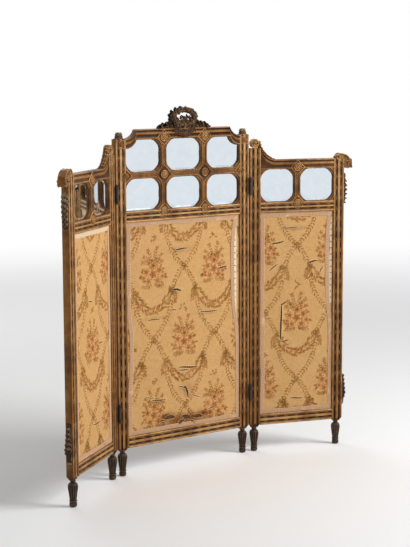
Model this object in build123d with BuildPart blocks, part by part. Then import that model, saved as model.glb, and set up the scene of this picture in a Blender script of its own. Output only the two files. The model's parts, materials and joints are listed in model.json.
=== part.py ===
"""Three-leaf folding screen: carved frames with mirrors over stretched fabric.

Millimetres, +Z up, the front of the centre leaf faces -Y. Each leaf is drawn with its
front face on y = 0. The centre leaf has x = 0 at its middle, and a side leaf has x = 0 at
its hinged edge. The left leaf is the mirror image of the right one.
"""
from build123d import *
import os

# Leaves
centre_width = 732.0
side_width = 478.0
frame_depth = 35.0
stile_width = 54.0

# Heights, from the floor up
foot_height = 118.0
stile_drop = 9.0
bottom_rail_height = 53.0
fabric_height = 970.0
mid_rail_height = 50.0
centre_pane_height = 142.5
side_pane_height = 155.0
top_rail_height = 45.0

# Mouldings on the front of stiles and rails
channel_depth = 4.0
channel_margin = 12.0
channel_rib = 9.0
rib_recess = 1.0
edge_round = 1.5

# Joints of the frames
tenon_length = 28.0
tenon_thickness = 12.0
tenon_shoulder = 8.0
tenon_clearance = 0.1

# Shoulders of the centre top rail and the sweep of the side top rail
shoulder_inset = 57.0
shoulder_drop = 40.0
shoulder_sag = 11.0
sweep_width = 76.0
sweep_rise = 55.0
sweep_sag = 14.0

# Mirrors and the bars in front of them
bar_width = 30.0
bar_depth = 13.0
bar_web = 8.0
bar_spacing = 222.4
pane_corner = 22.0
pane_lap = 5.0
pane_thickness = 4.0
pane_clearance = 0.5
backboard_thickness = 8.0
rosette_radius = 19.0
rosette_height = 5.0
rail_rosette_inset = 7.0

# Fabric and what lies under and over it
ledge_width = 18.0
ledge_front = 10.0
ledge_thickness = 16.0
lining_thickness = 1.0
fabric_thickness = 1.5
cloth_clearance = 0.5
gimp_width = 20.0
gimp_thickness = 2.0
gimp_joint = 0.2

# Feet
foot_radius = 22.0
foot_sole_radius = 13.5
foot_toe_radius = 17.0
foot_toe_height = 22.0
foot_groove = 2.5
foot_neck_radius = 10.0
foot_neck_length = 9.0
foot_shoulder_length = 15.0
foot_dowel_radius = 8.0
foot_dowel_length = 15.0
dowel_clearance = 0.1
stile_taper = 16.0
stile_end_inset = 10.0

# Carvings that change the outline
bud_height = 36.0
bud_inset = 1.0
volute_radius = 24.0
volute_neck = 10.0
spray_thickness = 18.0
spray_bulge = 15.0
ear_reach = 43.0
ear_rise = 27.0
ear_fall = 64.0
ear_notch = 12.0
edge_carving_depth = 22.0
bracket_bulge = 12.0
bracket_height = 180.0
bracket_lift = 10.0
pendant_bulge = 9.0
pendant_height = 150.0
pendant_gap = 10.0
wreath_width = 158.0
wreath_height = 97.0
wreath_band = 36.0
wreath_depth = 22.0
crest_spray_reach = 150.0
crest_spray_rise = 30.0
swag_width = 120.0
swag_drop = 36.0
swag_relief = 6.0

# Hinges
leaf_gap = 2.0
pin_proud = 10.0
pin_radius = 3.0
pin_clearance = 0.05
pin_tip_radius = 4.5
knuckle_radius = 7.0
knuckle_gap = 0.4
plate_thickness = 1.85
plate_clearance = 0.15
plate_reach = 25.0
plate_cutback = 0.6
hinge_length = 75.0
low_hinge_lift = 78.0
high_hinge_lift = 42.0
screw_radius = 2.0
screw_head_radius = 3.8
screw_length = 16.0
screw_clearance = 0.1
screw_edge = 12.0

# How far each side leaf is folded forward from flat, in degrees
left_fold = 35.2
right_fold = 17.6

bottom_rail_low = foot_height + stile_drop
bottom_rail_high = bottom_rail_low + bottom_rail_height
mid_rail_low = bottom_rail_high + fabric_height
mid_rail_high = mid_rail_low + mid_rail_height
bar_height = mid_rail_high + centre_pane_height + bar_width / 2
centre_rail_low = mid_rail_high + 2 * centre_pane_height + bar_width
centre_rail_high = centre_rail_low + top_rail_height
shoulder_low = centre_rail_low - shoulder_drop
centre_stile_high = centre_rail_high - shoulder_drop
side_rail_low = mid_rail_high + side_pane_height
side_rail_high = side_rail_low + top_rail_height
inner_stile_high = side_rail_high + sweep_rise

half_centre = centre_width / 2
centre_opening = half_centre - stile_width
shoulder_x = centre_opening - shoulder_inset
side_opening = side_width - stile_width
bar_x = bar_spacing / 2
pane_back = bar_depth + pane_thickness
board_back = pane_back + backboard_thickness
pane_side = pane_lap - pane_clearance
ledge_back = ledge_front + ledge_thickness
lining_front = ledge_front - lining_thickness
fabric_front = lining_front - fabric_thickness
gimp_front = fabric_front - gimp_thickness
tenon_front = (frame_depth - tenon_thickness) / 2
tenon_back = tenon_front + tenon_thickness
pin_x = half_centre + leaf_gap / 2
seat_depth = plate_thickness + plate_clearance - leaf_gap / 2
hinge_bases = (bottom_rail_high + low_hinge_lift, mid_rail_high + high_hinge_lift)
ear_low = side_rail_high - ear_fall
bracket_low = bottom_rail_high + bracket_lift
pendant_high = ear_low - pendant_gap
middle = frame_depth / 2


def elevation(depth):
    """Plane of a front view, at a depth behind the front face."""
    return Plane.XZ.offset(-depth)


def block(x, y, z, mode=Mode.ADD):
    """A squared block between two places along each axis."""
    with Locations(tuple((low + high) / 2 for low, high in (x, y, z))):
        Box(x[1] - x[0], y[1] - y[0], z[1] - z[0], mode=mode)


def board(x, y, z):
    """A plain board or cloth as a piece of its own."""
    with BuildPart() as plate:
        block(x, y, z)
    return plate.part


def gather(pieces):
    """Several separate solids that share one node."""
    return Compound([solid for piece in pieces for solid in piece.solids()])


def grown(span, amount):
    """A span made longer by the same amount at both ends."""
    return (span[0] - amount, span[1] + amount)


def band(centre, width):
    """A span of a width about its middle."""
    return (centre - width / 2, centre + width / 2)


def bowed(start, end, sag):
    """An arc whose middle lies off its chord, to the left of its way for a positive sag."""
    return SagittaArc(start, end, sag)


def cut_channel(x, z, upright):
    """The sunk channel along a moulded face, with the rib left standing in it."""
    block(x, (0, channel_depth), z, mode=Mode.SUBTRACT)
    rib_x = band(sum(x) / 2, channel_rib) if upright else x
    rib_z = z if upright else band(sum(z) / 2, channel_rib)
    block(rib_x, (rib_recess, channel_depth), rib_z)


def tenon_span(low, high):
    """Height of the tenon on a rail between two heights."""
    return grown((low, high), -tenon_shoulder)


def tenon(root, direction, span, play=0.0, mode=Mode.ADD):
    """A tenon along x from a rail's end, or with some play its mortise."""
    ends = sorted((root, root + direction * (tenon_length + play)))
    block(ends, grown((tenon_front, tenon_back), play), grown(span, play), mode=mode)


def screw_heights(base):
    """Heights of the three screws in one hinge plate."""
    return [base + hinge_length * share for share in (1 / 6, 1 / 2, 5 / 6)]


def make_stile(high, rebate_high, spans, hinged):
    """A stile from its outer edge at x = 0 to its opening edge at x = stile_width."""
    with BuildPart() as stile:
        with BuildSketch(Plane.XY.offset(foot_height)):
            with Locations((stile_width / 2, middle)):
                Rectangle(stile_width - 2 * stile_end_inset, frame_depth - stile_end_inset)
        with BuildSketch(Plane.XY.offset(foot_height + stile_taper)):
            with Locations((stile_width / 2, middle)):
                Rectangle(stile_width, frame_depth)
        loft()
        block((0, stile_width), (0, frame_depth), (foot_height + stile_taper, high))
        fillet(stile.edges().filter_by(Axis.Z), edge_round)
        cut_channel((channel_margin, stile_width - channel_margin),
                    (bottom_rail_low + channel_margin, high - channel_margin), True)
        block((stile_width - edge_round, stile_width + ledge_width), (ledge_front, ledge_back),
              (bottom_rail_high, mid_rail_low))
        block((stile_width - pane_lap, stile_width), (bar_depth, frame_depth),
              (mid_rail_high - pane_lap, rebate_high), mode=Mode.SUBTRACT)
        for span in spans:
            tenon(stile_width, -1, span, tenon_clearance, Mode.SUBTRACT)
        with Locations((stile_width / 2, middle, foot_height)):
            Cylinder(foot_dowel_radius + dowel_clearance, foot_dowel_length + dowel_clearance,
                     align=(Align.CENTER, Align.CENTER, Align.MIN), mode=Mode.SUBTRACT)
        if hinged:
            for base in hinge_bases:
                block((0, seat_depth), (0, plate_reach), (base, base + hinge_length),
                      mode=Mode.SUBTRACT)
                with BuildSketch(Plane.YZ):
                    with Locations(*((plate_reach - screw_edge, z) for z in screw_heights(base))):
                        Circle(screw_radius + screw_clearance)
                extrude(amount=seat_depth + screw_length, mode=Mode.SUBTRACT)
    return stile.part


def make_rail(x, low, high, ledge_side):
    """A straight rail with a tenon at each end and a tacking ledge above or below it."""
    ledge = (high - edge_round, high + ledge_width)
    if ledge_side < 0:
        ledge = (low - ledge_width, low + edge_round)
    with BuildPart() as rail:
        block(x, (0, frame_depth), (low, high))
        fillet(rail.edges().filter_by(Axis.X), edge_round)
        cut_channel(x, grown((low, high), -channel_margin), False)
        block(grown(x, -ledge_width), (ledge_front, ledge_back), ledge)
        if ledge_side < 0:
            block(x, (bar_depth, frame_depth), (high - pane_lap, high), mode=Mode.SUBTRACT)
        tenon(x[0], -1, tenon_span(low, high))
        tenon(x[1], 1, tenon_span(low, high))
    return rail.part


def make_corner(x, z, across, up):
    """A three-sided block in a corner of an opening, reaching across and up from it."""
    with BuildPart() as corner:
        with BuildSketch(elevation(bar_depth)):
            Polygon((x, z), (x + across * pane_corner, z), (x, z + up * pane_corner), align=None)
        extrude(amount=bar_depth)
    return corner.part


def make_crossing(x, z):
    """The diamond that thickens a crossing of two bars."""
    reach = bar_width / 2 + pane_corner
    with BuildPart() as crossing:
        with BuildSketch(elevation(bar_depth)):
            Polygon((x - reach, z), (x, z - reach), (x + reach, z), (x, z + reach), align=None)
        extrude(amount=bar_depth)
    return crossing.part


def make_upright_bar(x, low, high):
    """An upright glazing bar, its end corners and the web that parts the panes behind it."""
    with BuildPart() as bar:
        block(band(x, bar_width), (0, bar_depth), (low, high))
        block(band(x, bar_web), (bar_depth, pane_back), (low, high))
        for edge, across in zip(band(x, bar_width), (-1, 1)):
            add(make_corner(edge, low, across, 1))
            add(make_corner(edge, high, across, -1))
    return bar.part


def make_rosette(x, z):
    """A round boss with a raised middle, standing on the front face."""
    rim = rosette_height / 2
    with BuildPart() as rosette:
        with BuildSketch(elevation(0)):
            with Locations((x, z)):
                Circle(rosette_radius)
        extrude(amount=rim)
        with BuildSketch(elevation(-rim)):
            with Locations((x, z)):
                Circle(rosette_radius / 2)
        extrude(amount=rosette_height - rim, taper=30)
    return rosette.part


def make_foot(x):
    """A turned foot with its dowel, standing on the floor."""
    neck_low = foot_height - foot_neck_length
    shoulder = neck_low - foot_shoulder_length
    waist = foot_toe_radius - foot_groove
    dowel_top = foot_height + foot_dowel_length
    with BuildPart() as foot:
        with BuildSketch(Plane.XZ):
            with BuildLine():
                Line((0, 0), (foot_sole_radius, 0))
                ThreePointArc((foot_sole_radius, 0), (foot_toe_radius, foot_toe_height / 2),
                              (waist, foot_toe_height))
                Polyline((waist, foot_toe_height), (foot_toe_radius, foot_toe_height + foot_groove),
                         (foot_radius, shoulder))
                bowed((foot_radius, shoulder), (foot_neck_radius, neck_low), -foot_groove)
                Polyline((foot_neck_radius, neck_low), (foot_neck_radius, foot_height),
                         (foot_dowel_radius, foot_height), (foot_dowel_radius, dowel_top),
                         (0, dowel_top), (0, 0))
            make_face()
        revolve(axis=Axis.Z)
    return foot.part.moved(Location((x, middle, 0)))


def make_bud(x):
    """A leafy bud on top of a centre stile, as its plain rounded mass."""
    wide, deep = stile_width / 2 - bud_inset, middle - bud_inset
    with BuildPart() as bud:
        for height_share, share in ((0, 0.92), (0.35, 1.0), (0.75, 0.66), (1, 0.2)):
            with BuildSketch(Plane.XY.offset(centre_stile_high + height_share * bud_height)):
                with Locations((x, middle)):
                    Ellipse(wide * share, deep * share)
        loft()
    return bud.part


def make_gimp(x, z):
    """The braid round the fabric, in four lengths that meet at mitres."""
    corners = [(x[0], z[0]), (x[1], z[0]), (x[1], z[1]), (x[0], z[1])]
    ways = [(1, 0), (0, 1), (-1, 0), (0, -1)]
    strips = []
    for index, (along, inward) in enumerate(zip(ways, ways[1:] + ways[:1])):
        (ax, az), (bx, bz) = corners[index], corners[(index + 1) % 4]
        outer = [(ax + along[0] * gimp_joint, az + along[1] * gimp_joint),
                 (bx - along[0] * gimp_joint, bz - along[1] * gimp_joint)]
        inner = [(px + (sign * along[0] + inward[0]) * gimp_width,
                  pz + (sign * along[1] + inward[1]) * gimp_width)
                 for (px, pz), sign in zip(outer, (1, -1))]
        with BuildPart() as strip:
            with BuildSketch(elevation(fabric_front)):
                Polygon(*outer, *reversed(inner), align=None)
            extrude(amount=gimp_thickness)
        strips.append(strip.part)
    return gather(strips)


def make_cloths(x):
    """The under lining, the fabric, its braid and the cover on the back of one leaf."""
    z = (bottom_rail_high, mid_rail_low)
    cut_x, cut_z = grown(x, -cloth_clearance), grown(z, -cloth_clearance)
    cover_back = ledge_back + fabric_thickness
    return {
        "under_lining": board(cut_x, (lining_front, ledge_front), cut_z),
        "fabric": board(cut_x, (fabric_front, lining_front), cut_z),
        "gimp": make_gimp(cut_x, cut_z),
        "back_cover": board(cut_x, (ledge_back, cover_back), cut_z),
    }


def make_hinges():
    """Both hinges of the right joint about a pin on the z axis, with the leaf flat."""
    fixed, moving, pins = [], [], []
    for base in hinge_bases:
        third = hinge_length / 3
        cuts = [base, base + third, base + 2 * third, base + hinge_length]
        fixed_spans = [(cuts[0], cuts[1] - knuckle_gap / 2), (cuts[2] + knuckle_gap / 2, cuts[3])]
        moving_spans = [(cuts[1] + knuckle_gap / 2, cuts[2] - knuckle_gap / 2)]
        for side, own, other, group in ((-1, fixed_spans, moving_spans, fixed),
                                        (1, moving_spans, fixed_spans, moving)):
            plate_x = sorted((side * plate_clearance, side * (plate_clearance + plate_thickness)))
            with BuildPart() as plate:
                block(plate_x, (0, pin_proud + plate_reach - plate_clearance),
                      grown((base, base + hinge_length), -plate_clearance))
                for low, high in other:
                    with BuildSketch(Plane.XY.offset(low - knuckle_gap)):
                        Circle(knuckle_radius + plate_cutback)
                    extrude(amount=high - low + 2 * knuckle_gap, mode=Mode.SUBTRACT)
                for low, high in own:
                    with BuildSketch(Plane.XY.offset(low)):
                        Circle(knuckle_radius)
                    extrude(amount=high - low)
                with BuildSketch(Plane.XY.offset(base)):
                    Circle(pin_radius + pin_clearance)
                extrude(amount=hinge_length, mode=Mode.SUBTRACT)
                for height in screw_heights(base):
                    with BuildSketch(Plane.YZ.offset(side * plate_clearance)):
                        with Locations((pin_proud + plate_reach - screw_edge, height)):
                            Circle(screw_head_radius + screw_clearance)
                    with BuildSketch(Plane.YZ.offset(side * (plate_clearance + plate_thickness))):
                        with Locations((pin_proud + plate_reach - screw_edge, height)):
                            Circle(screw_radius + screw_clearance)
                    loft(mode=Mode.SUBTRACT)
            group.append(plate.part)
        with BuildPart() as pin:
            with BuildSketch(Plane.XY.offset(base)):
                Circle(pin_radius)
            extrude(amount=hinge_length)
            for end in (base - pin_tip_radius / 2, base + hinge_length + pin_tip_radius / 2):
                with Locations((0, 0, end)):
                    Sphere(pin_tip_radius)
            block((-pin_tip_radius, pin_tip_radius), (-pin_tip_radius, pin_tip_radius),
                  (base, base + hinge_length), mode=Mode.SUBTRACT)
            with BuildSketch(Plane.XY.offset(base)):
                Circle(pin_radius)
            extrude(amount=hinge_length)
        pins.append(pin.part)
    return gather(fixed), gather(moving), gather(pins)


def make_screws(side):
    """The screws of one joint's plates, whose heads lie in the plates on a side of the pin."""
    screws = []
    head_face = side * plate_clearance
    head_end = side * (plate_clearance + plate_thickness)
    for base in hinge_bases:
        for height in screw_heights(base):
            place = (pin_proud + plate_reach - screw_edge, height)
            with BuildPart() as screw:
                with BuildSketch(Plane.YZ.offset(head_face)):
                    with Locations(place):
                        Circle(screw_head_radius)
                with BuildSketch(Plane.YZ.offset(head_end)):
                    with Locations(place):
                        Circle(screw_radius)
                loft()
                with BuildSketch(Plane.YZ.offset(head_end)):
                    with Locations(place):
                        Circle(screw_radius)
                extrude(amount=side * (screw_length - screw_clearance))
            screws.append(screw.part)
    return gather(screws)


def mirror_field(lap):
    """Area of the centre leaf's mirrors, larger than their opening by a lap."""
    corner = shoulder_low + lap
    with BuildSketch() as field:
        with BuildLine():
            Polyline((0, centre_rail_low + lap), (0, mid_rail_high - lap),
                     (centre_opening + lap, mid_rail_high - lap), (centre_opening + lap, corner),
                     (centre_opening, corner))
            bowed((centre_opening, corner), (shoulder_x, centre_rail_low + lap), shoulder_sag)
            Line((shoulder_x, centre_rail_low + lap), (0, centre_rail_low + lap))
        make_face()
        mirror(about=Plane.YZ)
    return field.sketch


# Frame of the centre leaf
centre_spans = [tenon_span(bottom_rail_low, bottom_rail_high),
                tenon_span(mid_rail_low, mid_rail_high),
                tenon_span(shoulder_low, centre_stile_high)]
centre_left_stile = make_stile(centre_stile_high, shoulder_low + pane_lap, centre_spans, True)
centre_left_stile = centre_left_stile.moved(Location((-half_centre, 0, 0)))
across_centre = (-centre_opening, centre_opening)

with BuildPart() as centre_top_rail:
    with BuildSketch(elevation(frame_depth)):
        with BuildLine():
            Line((0, centre_rail_low), (shoulder_x, centre_rail_low))
            bowed((shoulder_x, centre_rail_low), (centre_opening, shoulder_low), -shoulder_sag)
            Line((centre_opening, shoulder_low), (centre_opening, centre_stile_high))
            bowed((centre_opening, centre_stile_high), (shoulder_x, centre_rail_high),
                  shoulder_sag)
            Polyline((shoulder_x, centre_rail_high), (0, centre_rail_high), (0, centre_rail_low))
        make_face()
        mirror(about=Plane.YZ)
    extrude(amount=frame_depth)
    cut_channel(grown((-shoulder_x, shoulder_x), -channel_margin),
                grown((centre_rail_low, centre_rail_high), -channel_margin), False)
    with BuildSketch(elevation(frame_depth)):
        add(mirror_field(pane_lap))
    extrude(amount=frame_depth - bar_depth, mode=Mode.SUBTRACT)
    tenon(-centre_opening, -1, centre_spans[2])
    tenon(centre_opening, 1, centre_spans[2])

# Bars and mirrors of the centre leaf. The low left corner block is missing on this screen
bars = []
crossings = [make_crossing(side * bar_x, bar_height) for side in (-1, 1)]
for side, crossing in zip((-1, 1), crossings):
    with BuildPart() as upright:
        add(make_upright_bar(side * bar_x, mid_rail_high, centre_rail_low))
        add(crossing)
    bars.append(upright.part)
bar_z = band(bar_height, bar_width)
for x in ((-centre_opening, -bar_x - bar_width / 2), grown((-bar_x, bar_x), -bar_width / 2),
          (bar_x + bar_width / 2, centre_opening)):
    with BuildPart() as level:
        block(x, (0, bar_depth), bar_z)
        for edge in x:
            if abs(edge) == centre_opening:
                add(make_corner(edge, bar_z[0], -1 if edge > 0 else 1, -1))
                add(make_corner(edge, bar_z[1], -1 if edge > 0 else 1, 1))
        for crossing in crossings:
            add(crossing, mode=Mode.SUBTRACT)
    bars.append(level.part)
bars.append(make_corner(centre_opening, mid_rail_high, -1, 1))

behind_web = bar_web / 2 + pane_clearance
columns = ((-centre_opening - pane_side, -bar_x - behind_web),
           grown((-bar_x, bar_x), -behind_web),
           (bar_x + behind_web, centre_opening + pane_side))
rows = ((mid_rail_high - pane_side, bar_height - pane_clearance),
        (bar_height + pane_clearance, centre_rail_low + pane_side))
panes = []
for x in columns:
    for z in rows:
        with BuildPart() as pane:
            with BuildSketch(elevation(pane_back)):
                add(mirror_field(pane_side))
            extrude(amount=pane_thickness)
            block(x, (bar_depth, pane_back), z, mode=Mode.INTERSECT)
        panes.append(pane.part)

with BuildPart() as centre_backboard:
    with BuildSketch(elevation(board_back)):
        add(mirror_field(pane_side))
    extrude(amount=backboard_thickness)

rosette_heights = (mid_rail_high - rail_rosette_inset, bar_height,
                   centre_rail_low + rail_rosette_inset)
centre_rosettes = [make_rosette(side * bar_x, z) for side in (-1, 1) for z in rosette_heights]

# Carved crest on the centre top rail
with BuildPart() as crest:
    wreath_middle = centre_rail_high + wreath_height / 2
    with BuildSketch(elevation(wreath_depth)):
        with Locations((0, wreath_middle)):
            Ellipse(wreath_width / 2, wreath_height / 2)
            Ellipse((wreath_width - wreath_band) / 4, (wreath_height - wreath_band) / 4,
                    mode=Mode.SUBTRACT)
        with BuildLine():
            Line((0, centre_rail_high), (crest_spray_reach, centre_rail_high))
            bowed((crest_spray_reach, centre_rail_high),
                  (wreath_width / 4, centre_rail_high + crest_spray_rise), -spray_bulge)
            Polyline((wreath_width / 4, centre_rail_high + crest_spray_rise),
                     (0, centre_rail_high + wreath_band / 2), (0, centre_rail_high))
        make_face()
        mirror(about=Plane.YZ)
    extrude(amount=wreath_depth + swag_relief)
    block((-2 * crest_spray_reach, 2 * crest_spray_reach), (-swag_relief, wreath_depth),
          (0, centre_rail_high), mode=Mode.SUBTRACT)
    with BuildSketch(elevation(0)):
        with Locations((0, centre_rail_high)):
            Ellipse(swag_width / 2, swag_drop)
    extrude(amount=swag_relief)

centre = {
    "centre_left_stile": centre_left_stile,
    "centre_right_stile": centre_left_stile.mirror(Plane.YZ),
    "centre_bottom_rail": make_rail(across_centre, bottom_rail_low, bottom_rail_high, 1),
    "centre_mid_rail": make_rail(across_centre, mid_rail_low, mid_rail_high, -1),
    "centre_top_rail": centre_top_rail.part,
    "centre_glazing_bars": gather(bars),
    "centre_rosettes": gather(centre_rosettes),
    "centre_mirrors": gather(panes),
    "centre_backboard": centre_backboard.part,
    "centre_feet": gather(make_foot(side * (half_centre - stile_width / 2)) for side in (-1, 1)),
    "centre_buds": gather(make_bud(side * (half_centre - stile_width / 2)) for side in (-1, 1)),
    "centre_crest": crest.part,
}
for name, cloth in make_cloths(across_centre).items():
    centre[f"centre_{name}"] = cloth

# Frame of a side leaf
rail_spans = [tenon_span(bottom_rail_low, bottom_rail_high), tenon_span(mid_rail_low, mid_rail_high)]
inner_span = tenon_span(side_rail_low, inner_stile_high)
outer_span = tenon_span(side_rail_low, side_rail_high)
side_rebate_high = side_rail_low + pane_lap
inner_stile = make_stile(inner_stile_high, side_rebate_high, rail_spans + [inner_span], True)
outer_stile = make_stile(side_rail_high, side_rebate_high, rail_spans + [outer_span], False)
outer_stile = outer_stile.mirror(Plane.YZ).moved(Location((side_width, 0, 0)))
across_side = (stile_width, side_opening)
sweep_foot = (stile_width + sweep_width, side_rail_high)
sweep_head = (stile_width, inner_stile_high)

with BuildPart() as side_top_rail:
    with BuildSketch(elevation(frame_depth)):
        with BuildLine():
            Polyline(sweep_head, (stile_width, side_rail_low), (side_opening, side_rail_low),
                     (side_opening, side_rail_high), sweep_foot)
            bowed(sweep_foot, sweep_head, sweep_sag)
        make_face()
    extrude(amount=frame_depth)
    cut_channel(grown(across_side, -channel_margin),
                grown((side_rail_low, side_rail_high), -channel_margin), False)
    block(across_side, (bar_depth, frame_depth), (side_rail_low, side_rebate_high),
          mode=Mode.SUBTRACT)
    tenon(stile_width, -1, inner_span)
    tenon(side_opening, 1, outer_span)

# Bar, mirrors and carvings of a side leaf
side_bar = side_width / 2
side_bars = [make_upright_bar(side_bar, mid_rail_high, side_rail_low)]
for x, across in zip(across_side, (1, -1)):
    side_bars.append(make_corner(x, mid_rail_high, across, 1))
    side_bars.append(make_corner(x, side_rail_low, across, -1))
pane_rows = grown((mid_rail_high, side_rail_low), pane_side)
side_panes = [board(x, (bar_depth, pane_back), pane_rows)
              for x in ((stile_width - pane_side, side_bar - behind_web),
                        (side_bar + behind_web, side_opening + pane_side))]
side_rosettes = [make_rosette(side_bar, z) for z in (mid_rail_high - rail_rosette_inset,
                                                     side_rail_low + rail_rosette_inset)]

with BuildPart() as inner_scroll:
    with BuildSketch(elevation(frame_depth)):
        with Locations((stile_width / 2, inner_stile_high + volute_radius)):
            Circle(volute_radius)
        with Locations((stile_width / 2, inner_stile_high + volute_neck / 2)):
            Rectangle(2 * volute_radius, volute_neck)
    extrude(amount=frame_depth)

with BuildPart() as spray:
    spray_head = (stile_width, inner_stile_high + spray_bulge / 2)
    with BuildSketch(elevation(middle + spray_thickness / 2)):
        with BuildLine():
            bowed(sweep_foot, sweep_head, sweep_sag)
            Line(sweep_head, spray_head)
            bowed(spray_head, sweep_foot, -(sweep_sag - spray_bulge))
        make_face()
    extrude(amount=spray_thickness)

with BuildPart() as outer_scroll:
    ear_inner = (side_opening + edge_round, side_rail_high)
    ear_notch_at = (side_width + ear_reach / 2, side_rail_high + ear_notch)
    ear_end = (side_width + 0.7 * ear_reach, ear_low)
    ear_root = (side_width, ear_low + 2 * ear_notch)
    with BuildSketch(elevation(frame_depth)):
        with BuildLine():
            ThreePointArc(ear_inner, (ear_inner[0] + ear_rise, side_rail_high + ear_rise),
                          ear_notch_at)
            ThreePointArc(ear_notch_at, (side_width + ear_reach, (side_rail_high + ear_low) / 2),
                          ear_end)
            bowed(ear_end, ear_root, -ear_notch / 2)
            Polyline(ear_root, (side_width, side_rail_high), ear_inner)
        make_face()
    extrude(amount=frame_depth)

edge_carvings = []
for low, high, bulge in ((bracket_low, bracket_low + bracket_height, bracket_bulge),
                         (pendant_high - pendant_height, pendant_high, pendant_bulge)):
    with BuildPart() as carving:
        with BuildSketch(elevation(middle + edge_carving_depth / 2)):
            with BuildLine():
                bowed((side_width, low), (side_width, high), -bulge)
                Line((side_width, high), (side_width, low))
            make_face()
        extrude(amount=edge_carving_depth)
    edge_carvings.append(carving.part)

fixed_plates, moving_plates, pins = make_hinges()
leaf_in_hinge = Location((leaf_gap / 2, pin_proud, 0))
side = {
    "inner_stile": inner_stile,
    "outer_stile": outer_stile,
    "bottom_rail": make_rail(across_side, bottom_rail_low, bottom_rail_high, 1),
    "mid_rail": make_rail(across_side, mid_rail_low, mid_rail_high, -1),
    "top_rail": side_top_rail.part,
    "glazing_bar": gather(side_bars),
    "rosettes": gather(side_rosettes),
    "mirrors": gather(side_panes),
    "backboard": board(grown(across_side, pane_side), (pane_back, board_back), pane_rows),
    "feet": gather(make_foot(x) for x in (stile_width / 2, side_width - stile_width / 2)),
    "inner_scroll": gather([inner_scroll.part, spray.part]),
    "outer_scroll": outer_scroll.part,
    "edge_carvings": gather(edge_carvings),
}
side.update(make_cloths(across_side))
side = {name: piece.moved(leaf_in_hinge) for name, piece in side.items()}
side["hinge_plates"] = moving_plates
side["hinge_screws"] = make_screws(1)

# Every piece in its place on the standing screen
pieces = dict(centre)
centre_screws = []
for hand, fold in (("right", right_fold), ("left", left_fold)):
    folded = Location((pin_x, -pin_proud, 0), (0, 0, -fold))
    open_hinge = Location((pin_x, -pin_proud, 0))
    placed = {f"{hand}_{name}": piece.moved(folded) for name, piece in side.items()}
    placed[f"{hand}_centre_hinge_plates"] = fixed_plates.moved(open_hinge)
    placed[f"{hand}_hinge_pins"] = pins.moved(open_hinge)
    screws = make_screws(-1).moved(open_hinge)
    if hand == "left":
        placed = {name: piece.mirror(Plane.YZ) for name, piece in placed.items()}
        screws = screws.mirror(Plane.YZ)
    pieces.update(placed)
    centre_screws.append(screws)
pieces["centre_hinge_screws"] = gather(centre_screws)

# The origin is on the floor, at the middle of the whole screen
extent = Compound(list(pieces.values())).bounding_box()
to_origin = Location((-extent.center().X, -extent.center().Y, 0))
os.makedirs("parts", exist_ok=True)
for name, piece in pieces.items():
    placed_piece = gather([piece.moved(to_origin)]) if len(piece.solids()) > 1 else \
        piece.moved(to_origin).solid()
    placed_piece.label = name
    export_step(placed_piece, f"parts/{name}.step")

print("pieces", len(pieces))
print("origin from the centre leaf's middle", extent.center().X, extent.center().Y)
print("size", extent.size)
print("right pin", pin_x - extent.center().X, -pin_proud - extent.center().Y)
print("left pin", -pin_x - extent.center().X, -pin_proud - extent.center().Y)
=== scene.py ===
"""Looks of a three-leaf folding screen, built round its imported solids.

A leaf's own sizes are in millimetres: s runs from its hinged edge outwards, or from the
middle of the centre leaf, t goes back from its front face and z is the height.
"""

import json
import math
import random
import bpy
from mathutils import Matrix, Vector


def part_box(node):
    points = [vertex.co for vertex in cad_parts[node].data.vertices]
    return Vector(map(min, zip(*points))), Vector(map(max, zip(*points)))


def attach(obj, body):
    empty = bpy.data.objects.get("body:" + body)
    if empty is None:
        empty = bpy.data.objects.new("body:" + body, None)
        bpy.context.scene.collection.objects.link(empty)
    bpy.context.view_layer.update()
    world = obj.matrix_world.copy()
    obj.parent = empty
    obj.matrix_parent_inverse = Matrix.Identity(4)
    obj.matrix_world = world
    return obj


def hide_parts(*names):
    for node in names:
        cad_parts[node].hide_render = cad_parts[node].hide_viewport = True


bl_info = {
    "name": "Carved Folding Screen",
    "version": (1, 0, 0),
    "blender": (4, 5, 0),
    "location": "View3D > Sidebar > Screen",
    "description": "Carved frames, bevelled mirrors and worn figured fabric of a screen",
    "category": "Add Mesh",
}

import bmesh
import bpy
import numpy as np
from bpy.props import FloatProperty, FloatVectorProperty, IntProperty, PointerProperty
from mathutils import Matrix, Vector

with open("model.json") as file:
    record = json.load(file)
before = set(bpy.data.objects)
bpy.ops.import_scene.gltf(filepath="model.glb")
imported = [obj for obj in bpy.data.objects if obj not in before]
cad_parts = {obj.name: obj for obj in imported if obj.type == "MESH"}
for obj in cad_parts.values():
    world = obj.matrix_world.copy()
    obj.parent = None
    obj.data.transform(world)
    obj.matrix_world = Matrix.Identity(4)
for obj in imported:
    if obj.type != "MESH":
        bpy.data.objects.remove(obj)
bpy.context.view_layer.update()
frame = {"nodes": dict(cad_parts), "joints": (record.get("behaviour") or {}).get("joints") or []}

MM = 0.001
CLOTH_PLAY = 0.5
FRAME_DEPTH = 35.0
MIRROR_FIELD = 315.0
BOSS_RADIUS = 19.0
PHOTO_HEIGHT = 547


class Leaf:
    """A leaf of the screen, with the place of its own sizes in the frame."""

    def __init__(self, name, place):
        self.name = name
        self.body = f"{name}_leaf"
        self.place = place
        self.flipped = place.determinant() < 0
        fabric = self.extent("fabric")
        self.opening = grown(fabric[0], CLOTH_PLAY)
        self.cloth_z = grown(fabric[2], CLOTH_PLAY)
        self.fabric_t = fabric[1]
        self.pane_z = (self.extent("mid_rail")[2][1], self.extent("top_rail")[2][0])
        self.bottom = self.extent("bottom_rail")[2][0]

    def extent(self, node):
        """Lowest and highest s, t and z of one of the leaf's solids."""
        back = self.place.inverted()
        corners = [back @ v.co for v in frame["nodes"][f"{self.name}_{node}"].data.vertices]
        return [(min(c[axis] for c in corners), max(c[axis] for c in corners)) for axis in range(3)]


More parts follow.
